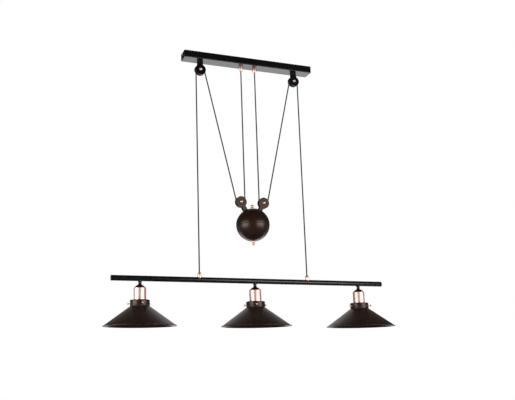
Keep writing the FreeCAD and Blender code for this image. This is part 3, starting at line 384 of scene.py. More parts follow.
def spin(profile, closed=True, steps=TURN_STEPS):
    """Turns (radius, height) points about Z. An open profile starts and ends on the axis."""
    shape = bmesh.new()
    shape.verts.layers.float.new("edge")
    points = [shape.verts.new((radius, 0, height)) for radius, height in profile]
    followers = points[1:] + points[:1] if closed else points[1:]
    for here, after in zip(points, followers):
        shape.edges.new((here, after))
    bmesh.ops.spin(shape, geom=points + shape.edges[:], cent=(0, 0, 0), axis=(0, 0, 1),
                   dvec=(0, 0, 0), angle=2 * pi, steps=steps, use_merge=True)
    bmesh.ops.remove_doubles(shape, verts=shape.verts, dist=WELD)
    bmesh.ops.recalc_face_normals(shape, faces=shape.faces)
    return shape


def ease(shape, width=EDGE_EASE, rub_and_glint=1.0):
    """Rounds the outward edges of a shape and marks them for a lighter edge colour: rubbed paint and a
    painted glint.
    """
    edges = [e for e in shape.edges if e.is_convex and e.calc_face_angle(0) > SHARP]
    made = bmesh.ops.bevel(shape, geom=edges, offset=width, offset_type="OFFSET", segments=2,
                           profile=0.5, affect="EDGES", clamp_overlap=True, material=-1)
    layer = shape.verts.layers.float["edge"]
    for vertex in made["verts"]:
        vertex[layer] = rub_and_glint
    return shape


def put_at(shape, place, toward=(0, 0, 1)):
    """Turns a shape from Z towards a direction and moves it to its place."""
    turn = Vector((0, 0, 1)).rotation_difference(Vector(toward)).to_matrix().to_4x4()
    bmesh.ops.transform(shape, matrix=Matrix.Translation(place) @ turn, verts=shape.verts)
    return shape


def piece(name, shapes, node):
    """Joins shapes into one object that stands for a node of the frame."""
    whole = bmesh.new()
    for shape in shapes:
        part = mesh_of("part", shape)
        whole.from_mesh(part)
        bpy.data.meshes.remove(part)
    for face in whole.faces:
        face.smooth = True
    for edge in whole.edges:
        edge.smooth = edge.calc_face_angle(0) < SHARP
    made = show(name, mesh_of(name, whole))
    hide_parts(node)
    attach(made, BODY_OF[node])
    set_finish(made, SLOT_OF[node])
    print("%s: %d faces" % (name, len(made.data.polygons)))


def at_lamps(make):
    """The same shape at each lamp's axis. Its heights are already the room's own."""
    return [put_at(make(), (LAMP_X[lamp], 0, 0)) for lamp in LAMPS]


# %% [markdown]
# ## Shades
# A coolie shade is spun from one thin disc: a flat crown, a straight cone and a hem rolled
# outwards. The roll stiffens the rim and catches the light as a thin line, so it is modelled as a
# real bead. A short collar is swaged into the crown: its flange grips the crown from below, and its
# lip holds it inside the gallery.

# %% Three spun shades
SHADE_SHEET = 0.8 * MM
SHEET_EASE = SHADE_SHEET / 4
COLLAR_RADIUS = 29.8 * MM
COLLAR_LIP = 1.8 * MM
COLLAR_FLANGE = 3.0 * MM
SEAT_GAP = 0.05 * MM
SHADE_CROWN_RADIUS = 35.6 * MM
SHADE_HEM_RADIUS = 1.4 * MM
SHADE_STEPS = 128
SHADE_RIM, SHADE_CROWN = heights("shade_middle")


def shade_shape(lamp):
    low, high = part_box("shade_" + lamp)
    hem = ((high.x - low.x) / 2 - SHADE_HEM_RADIUS, SHADE_RIM + SHADE_HEM_RADIUS)
    slope = degrees(atan2(SHADE_CROWN - hem[1], hem[0] - SHADE_CROWN_RADIUS))
    across = SHADE_SHEET * sin(radians(slope))
    down = SHADE_SHEET * cos(radians(slope))
    hole = COLLAR_RADIUS + SEAT_GAP
    outer_meets = 180 - slope
    inner_meets = outer_meets + degrees(asin(SHADE_SHEET / SHADE_HEM_RADIUS)) - 360
    profile = [(hole, SHADE_CROWN), (SHADE_CROWN_RADIUS, SHADE_CROWN)]
    profile += arc(hem, SHADE_HEM_RADIUS, outer_meets, inner_meets, steps=16)
    profile += [(SHADE_CROWN_RADIUS - across, SHADE_CROWN - down), (hole, SHADE_CROWN - SHADE_SHEET)]
    return put_at(ease(spin(profile, steps=SHADE_STEPS), SHEET_EASE), (LAMP_X[lamp], 0, 0))


for lamp in LAMPS:
    piece("coolie_shade_" + lamp, [shade_shape(lamp)], "shade_" + lamp)

# %% Collars swaged into the shades
COLLAR_FOOT, COLLAR_TOP = heights("shade_collars")


def collar_shape():
    inner = COLLAR_RADIUS - SHADE_SHEET
    lip, flange = COLLAR_RADIUS + COLLAR_LIP, COLLAR_RADIUS + COLLAR_FLANGE
    flange_top = COLLAR_FOOT + SHADE_SHEET
    profile = [(inner, COLLAR_TOP), (lip, COLLAR_TOP), (lip, COLLAR_TOP - SHADE_SHEET)]
    profile += [(COLLAR_RADIUS, COLLAR_TOP - SHADE_SHEET), (COLLAR_RADIUS, flange_top)]
    profile += [(flange, flange_top), (flange, COLLAR_FOOT), (inner, COLLAR_FOOT)]
    return ease(spin(profile), SHEET_EASE)


piece("swaged_collars", at_lamps(collar_shape), "shade_collars")

# %% [markdown]
# ## Holder, cap and neck of a lamp
# Below the bar hangs a waisted spacer, then a thin dome, then a copper-plated sleeve round the
# ceramic lampholder. The gallery is a cup that carries the shade. They are turned profiles, whose
# heights are read from the frame, so that they stand on each other as they do there.

# %% Copper sleeves
SLEEVE_RADIUS = 22.0 * MM
SLEEVE_WALL = 1.2 * MM
SLEEVE_SHOULDER = 3.2 * MM
SLEEVE_MOUTH_RADIUS = 18.0 * MM
SLEEVE_BEAD = 1.4 * MM
SLEEVE_BEAD_HEIGHT = 1.6 * MM
SLEEVE_LIP_RADIUS = 15.3 * MM
SLEEVE_FOOT, SLEEVE_TOP = heights("lamp_sleeves")
GALLERY_FOOT, GALLERY_TOP = heights("galleries")


def sleeve_shape():
    shoulder = (SLEEVE_RADIUS - SLEEVE_SHOULDER, SLEEVE_TOP - SLEEVE_SHOULDER)
    inner = SLEEVE_RADIUS - SLEEVE_WALL
    half = SLEEVE_BEAD_HEIGHT / 2
    bead = (SLEEVE_RADIUS + SLEEVE_BEAD - half, GALLERY_TOP + half)
    profile = [(SLEEVE_MOUTH_RADIUS, SLEEVE_TOP)] + arc(shoulder, SLEEVE_SHOULDER, 90, 0)
    profile += [(SLEEVE_RADIUS, GALLERY_TOP + 2 * half)] + arc(bead, half, 90, -90, steps=6)[1:-1]
    profile += [(SLEEVE_RADIUS, GALLERY_TOP), (SLEEVE_RADIUS, SLEEVE_FOOT),
                (SLEEVE_LIP_RADIUS, SLEEVE_FOOT), (SLEEVE_LIP_RADIUS, SLEEVE_FOOT + SLEEVE_WALL),
                (inner, SLEEVE_FOOT + SLEEVE_WALL)]
    profile += arc(shoulder, SLEEVE_SHOULDER - SLEEVE_WALL, 0, 90)
    profile += [(SLEEVE_MOUTH_RADIUS, SLEEVE_TOP - SLEEVE_WALL)]
    return ease(spin(profile))


piece("copper_sleeves", at_lamps(sleeve_shape), "lamp_sleeves")

# %% Domed caps and waisted necks
CAP_RIM_RADIUS = 19.2 * MM
CAP_SHOULDER = (13.82 * MM, 5.89 * MM)
CAP_SHEET = 1.5 * MM
NECK_TOP_RADIUS, NECK_WAIST_RADIUS, NECK_FOOT_RADIUS = 7.2 * MM, 5.8 * MM, 6.8 * MM
NECK_SUNK = NECK_WAIST_RADIUS / 2
NECK_BORE = 4.15 * MM
CAP_FOOT, CAP_TOP = heights("lamp_caps")
NECK_FOOT = CAP_TOP
BAR_UNDERSIDE = heights("bar_tube")[0]


def cap_shape():
    shoulder = (CAP_SHOULDER[0], SLEEVE_TOP + CAP_SHOULDER[1])
    spigot = SLEEVE_MOUTH_RADIUS - CAP_SHEET
    profile = [(NECK_BORE, CAP_TOP)]
    profile += arc_through((NECK_FOOT_RADIUS, CAP_TOP), shoulder, (CAP_RIM_RADIUS, SLEEVE_TOP), 12)
    profile += [(SLEEVE_MOUTH_RADIUS, SLEEVE_TOP), (SLEEVE_MOUTH_RADIUS, CAP_FOOT), (spigot, CAP_FOOT),
                (spigot, SLEEVE_TOP), (shoulder[0] - CAP_SHEET, shoulder[1] - CAP_SHEET),
                (NECK_BORE, CAP_TOP - CAP_SHEET)]
    return ease(spin(profile))


def flare(waist, end, steps=6):
    """Arc that leaves the waist upright and swings out to the end."""
    inset, run = waist[0] - end[0], end[1] - waist[1]
    swing = (run ** 2 + inset ** 2) / (2 * inset)
    return arc((waist[0] - swing, waist[1]), swing, 0, degrees(asin(run / swing)), steps)


def neck_shape():
    waist = (NECK_WAIST_RADIUS, (BAR_UNDERSIDE + NECK_FOOT) / 2)
    profile = [(NECK_BORE, NECK_FOOT)] + flare(waist, (NECK_FOOT_RADIUS, NECK_FOOT))[::-1]
    profile += flare(waist, (NECK_TOP_RADIUS, BAR_UNDERSIDE))[1:]
    inside_tube = BAR_UNDERSIDE + NECK_SUNK
    profile += [(NECK_TOP_RADIUS, inside_tube), (NECK_BORE, inside_tube)]
    return spin(profile, steps=SMALL_STEPS)


piece("domed_caps", at_lamps(cap_shape), "lamp_caps")
piece("waisted_necks", at_lamps(neck_shape), "lamp_necks")

# %% Galleries that carry the shades
GALLERY_RADIUS = 34.8 * MM
GALLERY_SHEET = 1.2 * MM
GALLERY_CORNER = 2.0 * MM


def gallery_shape():
    corner = (GALLERY_RADIUS - GALLERY_CORNER, GALLERY_TOP - GALLERY_CORNER)
    inner = GALLERY_RADIUS - GALLERY_SHEET
    profile = [(SLEEVE_RADIUS, GALLERY_TOP)] + arc(corner, GALLERY_CORNER, 90, 0)
    profile += [(GALLERY_RADIUS, GALLERY_FOOT), (inner, GALLERY_FOOT)]
    profile += arc(corner, GALLERY_CORNER - GALLERY_SHEET, 0, 90)
    profile += [(SLEEVE_RADIUS, GALLERY_TOP - GALLERY_SHEET)]
    return ease(spin(profile))


piece("shade_galleries", at_lamps(gallery_shape), "galleries")

# %% [markdown]
# ## Thumb screws
# Three small copper screws hold each shade. Their heads are knurled, so that fingers grip them. A
# knurl is just a wheel with alternate ridges, so every second row of points on the head's side
# is drawn in a little after the spin.

# %% Knurled screws round each gallery
THUMB_SHANK_RADIUS = 1.5 * MM
THUMB_HEAD_RADIUS = 3.5 * MM
THUMB_HEAD_LENGTH = 6.0 * MM
THUMB_HEAD_CROWN = 2.0 * MM
THUMB_SEAT = GALLERY_RADIUS + 8.0 * MM
THUMB_TIP = COLLAR_RADIUS + 0.2 * MM
THUMB_HEIGHT = GALLERY_TOP - 12.0 * MM
THUMB_TURN = {"left": -1.0, "middle": -18.0, "right": 38.0}
THUMB_SCREWS = 3
KNURL_RIDGES = 18
KNURL_DEPTH = 0.3 * MM


def knurl(shape, radius, low, high):
    """Draws in every second row of points on a round side between two heights."""
    for vertex in shape.verts:
        around = atan2(vertex.co.y, vertex.co.x) / (pi / KNURL_RIDGES)
        on_side = vertex.co.xy.length > radius - CLOSE
        if on_side and low - WELD <= vertex.co.z <= high + WELD and round(around) % 2:
            vertex.co.xy = vertex.co.xy * (1 - KNURL_DEPTH / radius)
    return shape


def thumb_screw_shape():
    crown = THUMB_SEAT + THUMB_HEAD_LENGTH - THUMB_HEAD_CROWN
    profile = [(0, THUMB_TIP), (THUMB_SHANK_RADIUS, THUMB_TIP), (THUMB_SHANK_RADIUS, THUMB_SEAT),
               (THUMB_HEAD_RADIUS, THUMB_SEAT)]
    profile += dome(THUMB_HEAD_RADIUS, crown, THUMB_SEAT + THUMB_HEAD_LENGTH, steps=6)
    screw = spin(profile, closed=False, steps=2 * KNURL_RIDGES)
    return knurl(screw, THUMB_HEAD_RADIUS, THUMB_SEAT, crown)


screws = []
for lamp in LAMPS:
    for screw in range(THUMB_SCREWS):
        turn = radians(THUMB_TURN[lamp] + screw * 360 / THUMB_SCREWS)
        way = (sin(turn), -cos(turn), 0)
        screws.append(put_at(thumb_screw_shape(), (LAMP_X[lamp], 0, THUMB_HEIGHT), way))
piece("knurled_screws", screws, "thumb_screws")

# %% [markdown]
# ## Ball
# The ball is two pressed half shells over a cast core, held by a knob on top and a stepped tip
# below. A sphere primitive would pinch at its poles and have no seam. Here each half is a turned
# shell with a wall, cut flat where a pulley yoke stands on it. The seam is eased by a hair only:
# the photograph shows none.

# %% Two half shells with flats for the yokes
SHELL_WALL = 2.0 * MM
SHELL_STEPS = 24
YOKE_SEAT = 62.7 * MM
SEAM_EASE = 0.04 * MM


def cut_off(shape, place, way):
    """Cuts a shape at a plane and drops what lies beyond it. Gives back what lies in the plane."""
    whole = shape.verts[:] + shape.edges[:] + shape.faces[:]
    return bmesh.ops.bisect_plane(shape, geom=whole, dist=WELD, plane_co=place, plane_no=way,
                                  clear_outer=True)["geom_cut"]


def half_shell(half):
    inner = BALL_RADIUS - SHELL_WALL
    outer_side = arc((0, 0), BALL_RADIUS, 90, 0, SHELL_STEPS)
    inner_side = arc((0, 0), inner, 0, 90, SHELL_STEPS)
    profile = [(0, BALL_RADIUS)] + outer_side[1:] + inner_side[:-1] + [(0, inner)]
    shape = ease(spin([(r, half * z) for r, z in profile], closed=False), SEAM_EASE, rub_and_glint=0.0)
    for side in SIDES if half > 0 else ():
        way = (RUNNING[side] - BALL).normalized()
        rim = only(bmesh.types.BMEdge, cut_off(shape, way * YOKE_SEAT, way))
        bmesh.ops.contextual_create(shape, geom=rim)
    return put_at(shape, BALL)


piece("ball_upper", [half_shell(1)], "weight_shell_upper")
piece("ball_lower", [half_shell(-1)], "weight_shell_lower")

# %% Knob above and stepped tip below
KNOB_RADIUS, KNOB_NECK_RADIUS, KNOB_NECK = 7.0 * MM, 4.5 * MM, 3.0 * MM
TIP_NECK_RADIUS, TIP_NECK = 4.8 * MM, 3.5 * MM
TIP_BEAD_RADIUS, TIP_BEAD = 6.6 * MM, 5.5 * MM
TIP_END_RADIUS, TIP_END = 5.4 * MM, 7.0 * MM


def knob_shape():
    middle = KNOB_NECK + sqrt(KNOB_RADIUS ** 2 - KNOB_NECK_RADIUS ** 2)
    meet = degrees(asin((middle - KNOB_NECK) / KNOB_RADIUS))
    profile = [(0, 0), (KNOB_NECK_RADIUS, 0)] + arc((0, middle), KNOB_RADIUS, -meet, 90, steps=16)[:-1]
    return spin(profile + [(0, middle + KNOB_RADIUS)], closed=False, steps=SMALL_STEPS)


def tip_shape():
    bead_top = TIP_NECK + TIP_BEAD
    end = bead_top + TIP_END - TIP_END_RADIUS
    profile = [(0, 0), (TIP_NECK_RADIUS, 0)]
    profile += arc_through((TIP_NECK_RADIUS, TIP_NECK), (TIP_BEAD_RADIUS, TIP_NECK + TIP_BEAD / 2),
                           (TIP_NECK_RADIUS, bead_top))
    profile += [(TIP_END_RADIUS, bead_top)] + arc((0, end), TIP_END_RADIUS, 0, 90)[:-1]
    return spin(profile + [(0, end + TIP_END_RADIUS)], closed=False, steps=SMALL_STEPS)


TO_POLE = Vector((0, 0, BALL_RADIUS))
piece("copper_knob", [put_at(knob_shape(), BALL + TO_POLE)], "top_finial")
piece("copper_tip", [put_at(tip_shape(), BALL - TO_POLE, (0, 0, -1))], "bottom_finial")

# %% [markdown]
# ## Pulleys
# Each pulley is a grooved wheel between the two round cheeks of a yoke. The groove is a half circle
# a little wider than the flex, with lips that flare out. The yokes keep the frame's own shape. A
# domed copper nut closes each end of the axle.

# %% Grooved wheels and domed nuts
WHEEL_RADIUS, WHEEL_WIDTH = 20.5 * MM, 10.0 * MM
GROOVE_RADIUS = FLEX_RADIUS + 0.3 * MM
GROOVE_FLARE = 1.0 * MM
WHEEL_BORE = 4.05 * MM
NUT_RADIUS, NUT_SKIRT, NUT_HEIGHT = 6.0 * MM, 1.6 * MM, 7.0 * MM
CHEEK_FACE = 8.0 * MM


def wheel_shape():
    half, lip = WHEEL_WIDTH / 2, GROOVE_RADIUS + GROOVE_FLARE
    profile = [(WHEEL_BORE, -half), (WHEEL_RADIUS, -half), (WHEEL_RADIUS, -lip)]
    profile += arc((PITCH_RADIUS, 0), GROOVE_RADIUS, -90, -270)
    profile += [(WHEEL_RADIUS, lip), (WHEEL_RADIUS, half), (WHEEL_BORE, half)]
    return ease(spin(profile))


def nut_shape():
    profile = [(0, 0), (NUT_RADIUS, 0)] + dome(NUT_RADIUS, NUT_SKIRT, NUT_HEIGHT, steps=10)
    return ease(spin(profile, closed=False, steps=SMALL_STEPS), SMALL_EASE)


for level, places in (("upper", FIXED), ("lower", RUNNING)):
    nuts = []
    for side, place in places.items():
        node = "%s_wheel_%s" % (level, side)
        piece("grooved_" + node, [put_at(wheel_shape(), place, (0, 1, 0))], node)
        nuts += [put_at(nut_shape(), place + Vector((0, face * CHEEK_FACE, 0)), (0, face, 0))
                 for face in (-1, 1)]
    piece("domed_nuts_" + level, nuts, level + "_axle_caps")

# %% [markdown]
# ## Cord grips
# Where a flex leaves the cover, and where it enters the bar, a bullet-shaped copper grip holds it.
# It leaves its seat upright and curves in to a narrow mouth. The mouth has a bore for the flex.

# %% Bullet-shaped grips
GRIP_SHAPES = {"canopy_grip_": (8.0 * MM, 22.0 * MM), "bar_grip_": (7.2 * MM, 19.5 * MM)}
GRIP_MOUTH_RADIUS = 4.4 * MM
GRIP_BORE = FLEX_RADIUS + 0.15 * MM
GRIP_TAPER = 0.55
GRIP_SUNK = 1.0 * MM
GRIP_STEPS = 64


def grip_shape(radius, length):
    """Grip that stands up from z = 0, where its seat is."""
    profile = [(GRIP_BORE, -GRIP_SUNK), (radius, -GRIP_SUNK)]
    profile += flare((radius, length * (1 - GRIP_TAPER)), (GRIP_MOUTH_RADIUS, length), steps=12)
    profile += [(GRIP_BORE, length)]
    return ease(spin(profile, steps=GRIP_STEPS), SMALL_EASE)


for start, (radius, length) in GRIP_SHAPES.items():
    for side in SIDES:
        low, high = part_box(start + side)
        down = start == "canopy_grip_"
        seat = low.z + length if down else high.z - length
        place = ((low.x + high.x) / 2, 0, seat)
        grip = put_at(grip_shape(radius, length), place, (0, 0, -1 if down else 1))
        piece("copper_" + start + side, [grip], start + side)

# %% [markdown]
# ## Bar
# The bar is a plain round tube with a plastic plug in each end. The tube's ends are eased, so a
# hairline shows round each plug's flange, as it does round a pushed-in plug.

# %% Tube and end plugs
BAR_RADIUS, BAR_WALL = 10.0 * MM, 1.5 * MM
BAR_EASE = 0.2 * MM
BAR_STEPS = 64
PLUG_FLANGE = 2.0 * MM
PLUG_DEPTH = 9.0 * MM
BAR_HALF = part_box("bar_tube")[1].x


def tube_shape():
    inner = BAR_RADIUS - BAR_WALL
    profile = [(inner, -BAR_HALF), (BAR_RADIUS, -BAR_HALF), (BAR_RADIUS, BAR_HALF), (inner, BAR_HALF)]
    return put_at(ease(spin(profile, steps=BAR_STEPS), BAR_EASE), BAR, (1, 0, 0))


def plug_shape(way):
    edge, plug = PLUG_FLANGE / 2, BAR_RADIUS - BAR_WALL
    profile = [(0, -PLUG_DEPTH), (plug, -PLUG_DEPTH), (plug, 0), (BAR_RADIUS, 0)]
    profile += arc((BAR_RADIUS - edge, PLUG_FLANGE - edge), edge, 0, 90, steps=6) + [(0, PLUG_FLANGE)]
    end = BAR + Vector((way * BAR_HALF, 0, 0))
    return put_at(spin(profile, closed=False, steps=BAR_STEPS), end, (way, 0, 0))


piece("bar_round_tube", [tube_shape()], "bar_tube")
piece("bar_plugs", [plug_shape(way) for way in SIDES.values()], "bar_end_caps")

# %% [markdown]
# ## Screw shells of the lampholders
# Seen from below, each lampholder shows a thin metal shell with a round thread, as wide as a
# household bulb's cap. One wave of the thread is spun upwards as it turns, so that each turn
# meets the next. The ragged ends are then cut level, and the top is drawn in round a corner to
# the eye where the centre contact shows.

# %% Threaded shells
THREAD_PITCH = 3.63 * MM
THREAD_DEPTH = 0.7 * MM
THREAD_POINTS = 8
THREAD_SPARE = 2
SHELL_SHEET = 0.35 * MM
SHELL_CORNER = 3.2 * MM
EYE_RADIUS = 7.0 * MM
SHELL_LOW, SHELL_HIGH = heights("screw_shells")
SHELL_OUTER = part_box("screw_shells")[1].x - max(LAMP_X.values())


def threaded_shell():
    shape = bmesh.new()
    shape.verts.layers.float.new("edge")
    turns = ceil((SHELL_HIGH - SHELL_LOW) / THREAD_PITCH) + THREAD_SPARE
    start = SHELL_LOW - (THREAD_SPARE - 0.5) * THREAD_PITCH
    wave = []
    for i in range(THREAD_POINTS + 1):
        share = i / THREAD_POINTS
        radius = SHELL_OUTER - THREAD_DEPTH / 2 * (1 - cos(2 * pi * share))
        wave.append(shape.verts.new((radius, 0, start + share * THREAD_PITCH)))
    line = [shape.edges.new(pair) for pair in zip(wave, wave[1:])]
    bmesh.ops.spin(shape, geom=wave + line, cent=(0, 0, 0), axis=(0, 0, 1), angle=2 * pi * turns,
                   dvec=(0, 0, THREAD_PITCH / SMALL_STEPS), steps=SMALL_STEPS * turns, use_merge=False)
    bmesh.ops.remove_doubles(shape, verts=shape.verts, dist=CLOSE)
    wall_top = SHELL_HIGH - SHELL_CORNER
    cut_off(shape, (0, 0, SHELL_LOW), (0, 0, -1))
    cut_off(shape, (0, 0, wall_top), (0, 0, 1))
    rim = [e for e in shape.edges if e.is_boundary and e.verts[0].co.z > wall_top - CLOSE]
    corner = arc((SHELL_OUTER - SHELL_CORNER, wall_top), SHELL_CORNER, 0, 90, steps=5)[1:]
    for radius, height in corner + [(EYE_RADIUS, SHELL_HIGH)]:
        made = bmesh.ops.extrude_edge_only(shape, edges=rim)["geom"]
        rim = only(bmesh.types.BMEdge, made)
        for vertex in only(bmesh.types.BMVert, made):
            vertex.co = (*(vertex.co.xy.normalized() * radius), height)
    bmesh.ops.recalc_face_normals(shape, faces=shape.faces)
    bmesh.ops.solidify(shape, geom=shape.faces[:], thickness=SHELL_SHEET)
    return shape


piece("threaded_shells", at_lamps(threaded_shell), "screw_shells")

# %% [markdown]
# ## Shader node groups
# Some effects belong to more than one finish, so each is built once, as a node group with named
# sockets, and every finish gives it its own values. A group puts out only colours, shades, heights
# and roughness. The shader itself stays in the material.

# %% Helpers for node trees
NODE_STEP = 190


def put(tree, kind, sockets=None, **settings):
    """Adds a node. sockets gives each input a value, or an output to link from."""
    node = tree.nodes.new("ShaderNode" + kind)
    node.location = (NODE_STEP * len(tree.nodes), 0)
    for key, value in settings.items():
        setattr(node, key, value)
    for key, value in (sockets or {}).items():
        if isinstance(value, bpy.types.NodeSocket):
            tree.links.new(value, node.inputs[key])
        else:
            node.inputs[key].default_value = value
    return node


def maths(tree, operation, *values):
    return put(tree, "Math", dict(enumerate(values)), operation=operation).outputs[0]


def noise(tree, vector, scale, detail, roughness=0.5):
    sockets = {"Vector": vector, "Scale": scale, "Detail": detail, "Roughness": roughness}
    return put(tree, "TexNoise", sockets).outputs["Fac"]


def ramp(tree, value, begin, finish, first=0.0, last=1.0, course="LINEAR"):
    """Goes from the first to the last strength while a value goes from begin to finish."""
    sockets = {"Value": value, "From Min": begin, "From Max": finish, "To Min": first, "To Max": last}
    return put(tree, "MapRange", sockets, interpolation_type=course).outputs["Result"]


def mix(tree, share, first, second):
    """The first colour where the share is 0, and the second where it is 1."""
    return put(tree, "MixRGB", {"Fac": share, "Color1": first, "Color2": second}).outputs["Color"]


def new_group(name, inputs, *outputs):
    """A group. An input's default says its kind: a number, a colour, or None for a vector."""
    tree = bpy.data.node_groups.new(name, "ShaderNodeTree")
    kinds = {float: "Float", tuple: "Color", type(None): "Vector"}
    for label, value in inputs.items():
        kind = "NodeSocket" + kinds[type(value)]
        socket = tree.interface.new_socket(label, in_out="INPUT", socket_type=kind)
        if value is not None:
            socket.default_value = value
    for label in outputs:
        kind = "NodeSocketColor" if label == "Colour" else "NodeSocketFloat"
        tree.interface.new_socket(label, in_out="OUTPUT", socket_type=kind)
    return tree, tree.nodes.new("NodeGroupInput").outputs, tree.nodes.new("NodeGroupOutput").inputs


# %% [markdown]
# **Grain** is the fine unevenness of a sprayed, cast or moulded surface. Sprayed paint has orange
# peel: dimples of about a millimetre. A second, broader noise makes the gloss uneven by a little,
# because no real coat is equally smooth all over.

# %% Grain: height and uneven gloss
PEEL_DETAIL = 2.0
BROAD_SCALE, BROAD_DETAIL = 35.0, 4.0
NOISE_MEAN = 0.5

sockets = {"Vector": None, "Scale": 900.0, "Gloss": 0.4, "Unevenness": 0.1}
GRAIN, given, out = new_group("grain", sockets, "Height", "Roughness")
broad = noise(GRAIN, given["Vector"], BROAD_SCALE, BROAD_DETAIL)
shift = maths(GRAIN, "MULTIPLY", maths(GRAIN, "SUBTRACT", broad, NOISE_MEAN), given["Unevenness"])
GRAIN.links.new(noise(GRAIN, given["Vector"], given["Scale"], PEEL_DETAIL), out["Height"])
GRAIN.links.new(maths(GRAIN, "ADD", shift, given["Gloss"]), out["Roughness"])

# %% [markdown]
# ** Mottle** moves a colour towards a second one in soft patches a few centimetres wide, with finer
# flecks inside them. **Dust** lies on faces that look up, thinner where they slope. **Edge colour**
# lays a lighter colour in a broken line where a mark on the mesh says that an edge is: partly paint
# rubbed thin there, partly a painted glint along the rims.

# %% Mottle, dust and worn edges
ANY_COLOUR = (0.02, 0.02, 0.02, 1)
DUST_COLOUR = (0.25, 0.23, 0.21, 1)
PATCH_SPAN, SPECK_SPAN, RUB_AND_GLINT_SPAN = (0.35, 0.68), (0.4, 0.7), (0.38, 0.62)
SPECK_SCALE, RUB_AND_GLINT_SCALE = 260.0, 90.0
STEEPEST_FOR_DUST = 0.3

sockets = {"Vector": None, "Colour": ANY_COLOUR, "Second": ANY_COLOUR, "Scale": 30.0}
MOTTLE, given, out = new_group("mottle", sockets, "Colour")
patches = noise(MOTTLE, given["Vector"], given["Scale"], detail=5.0, roughness=0.6)
share = ramp(MOTTLE, patches, *PATCH_SPAN, course="SMOOTHSTEP")
MOTTLE.links.new(mix(MOTTLE, share, given["Colour"], given["Second"]), out["Colour"])


def lay_on(name, laid, where, scale, detail, span):
    """A group that lays a colour in broken patches where a function of its tree says so."""
    sockets = {"Vector": None, "Colour": ANY_COLOUR, "Laid": laid, "Amount": 0.5}
    tree, given, out = new_group(name, sockets, "Colour")
    broken = ramp(tree, noise(tree, given["Vector"], scale, detail), *span)
    share = maths(tree, "MULTIPLY", maths(tree, "MULTIPLY", where(tree), broken), given["Amount"])
    tree.links.new(mix(tree, share, given["Colour"], given["Laid"]), out["Colour"])
    return tree


def looking_up(tree):
    normal = put(tree, "NewGeometry").outputs["Normal"]
    return ramp(tree, put(tree, "SeparateXYZ", {"Vector": normal}).outputs["Z"], STEEPEST_FOR_DUST, 1.0)


def marked_edge(tree):
    return put(tree, "Attribute", attribute_name="edge").outputs["Fac"]


DUST = lay_on("dust", DUST_COLOUR, looking_up, SPECK_SCALE, 6.0, SPECK_SPAN)
# The lighter edge colour is partly rubbed paint and partly a painted glint along the rims.
WORN_EDGE_AND_GLINT = lay_on("worn_edge_and_glint", ANY_COLOUR, marked_edge, RUB_AND_GLINT_SCALE, 5.0, RUB_AND_GLINT_SPAN)

# %% [markdown]
# **Turning marks** are the fine rings that a lathe leaves. All copper here but the nuts and screws
# is turned about an upright axis, so a noise that is squeezed along Z draws the rings. **Braid**
# draws the crossing strands of textile flex from the UV map: two sets of stripes run round it in
# opposite ways, and each passes over and under.

# %% Turning marks and braid
TURNING_MARKS, given, out = new_group("turning_marks", {"Vector": None, "Rings": 2500.0},
                                      "Height", "Shade")
apart = put(TURNING_MARKS, "SeparateXYZ", {"Vector": given["Vector"]}).outputs["Z"]
squeezed = maths(TURNING_MARKS, "MULTIPLY", apart, given["Rings"])
rings = put(TURNING_MARKS, "TexNoise", {"W": squeezed, "Scale": 1.0, "Detail": 3.0},
            noise_dimensions="1D")
TURNING_MARKS.links.new(rings.outputs["Fac"], out["Height"])
TURNING_MARKS.links.new(noise(TURNING_MARKS, given["Vector"], 60.0, detail=3.0), out["Shade"])

sockets = {"Vector": None, "Strands": 8.0, "Lay": 0.012}
BRAID, given, out = new_group("braid", sockets, "Height", "Shade")
split = put(BRAID, "SeparateXYZ", {"Vector": given["Vector"]})
around = maths(BRAID, "MULTIPLY", split.outputs["X"], given["Strands"])
turns = maths(BRAID, "DIVIDE", split.outputs["Y"], given["Lay"])
along = maths(BRAID, "MULTIPLY", turns, given["Strands"])
families = []
for operation in ("ADD", "SUBTRACT"):
    half_turns = maths(BRAID, "MULTIPLY", maths(BRAID, operation, around, along), pi)
    families.append(maths(BRAID, "ABSOLUTE", maths(BRAID, "SINE", half_turns)))
BRAID.links.new(maths(BRAID, "MAXIMUM", *families), out["Height"])
BRAID.links.new(maths(BRAID, "MULTIPLY", *families), out["Shade"])
print("groups:", ", ".join(group.name for group in bpy.data.node_groups))

# %% [markdown]
# ## Finishes
# A finish is a material with a Principled shader. What changes over the surface comes from the
# groups, and what is the same all over is set on the shader's own sockets.

# %% Start of every finish
FINISHES = {}


def new_finish(name, **constants):
    """Makes a material. Gives back its tree, its shader and its coordinates."""
    material = bpy.data.materials.new(name)
    material.use_nodes = True
    FINISHES[name] = material
    tree = material.node_tree
    shader = tree.nodes["Principled BSDF"]
    for label, value in constants.items():
        shader.inputs[label.replace("_", " ")].default_value = value
    return tree, shader, put(tree, "TexCoord").outputs


def use(tree, group, sockets):
    return put(tree, "Group", sockets, node_tree=group).outputs


def bump_on(tree, shader, height, depth):
    bump = put(tree, "Bump", {"Height": height, "Distance": depth})
    tree.links.new(bump.outputs["Normal"], shader.inputs["Normal"])


def grained(name, colour, second, gloss, unevenness, scale, depth, patches, **constants):
    """A finish with a grain of this depth in mm and two mottled colours. Gives back its tree, its
    shader, its object coordinates and its colour."""
    tree, shader, places = new_finish(name, **constants)
    place = places["Object"]
    sockets = {"Vector": place, "Scale": scale, "Gloss": gloss, "Unevenness": unevenness}
    grain = use(tree, GRAIN, sockets)
    tree.links.new(grain["Roughness"], shader.inputs["Roughness"])
    bump_on(tree, shader, grain["Height"], depth * MM)
    sockets = {"Vector": place, "Colour": (*colour, 1), "Second": (*second, 1), "Scale": patches}
    return tree, shader, place, use(tree, MOTTLE, sockets)["Colour"]
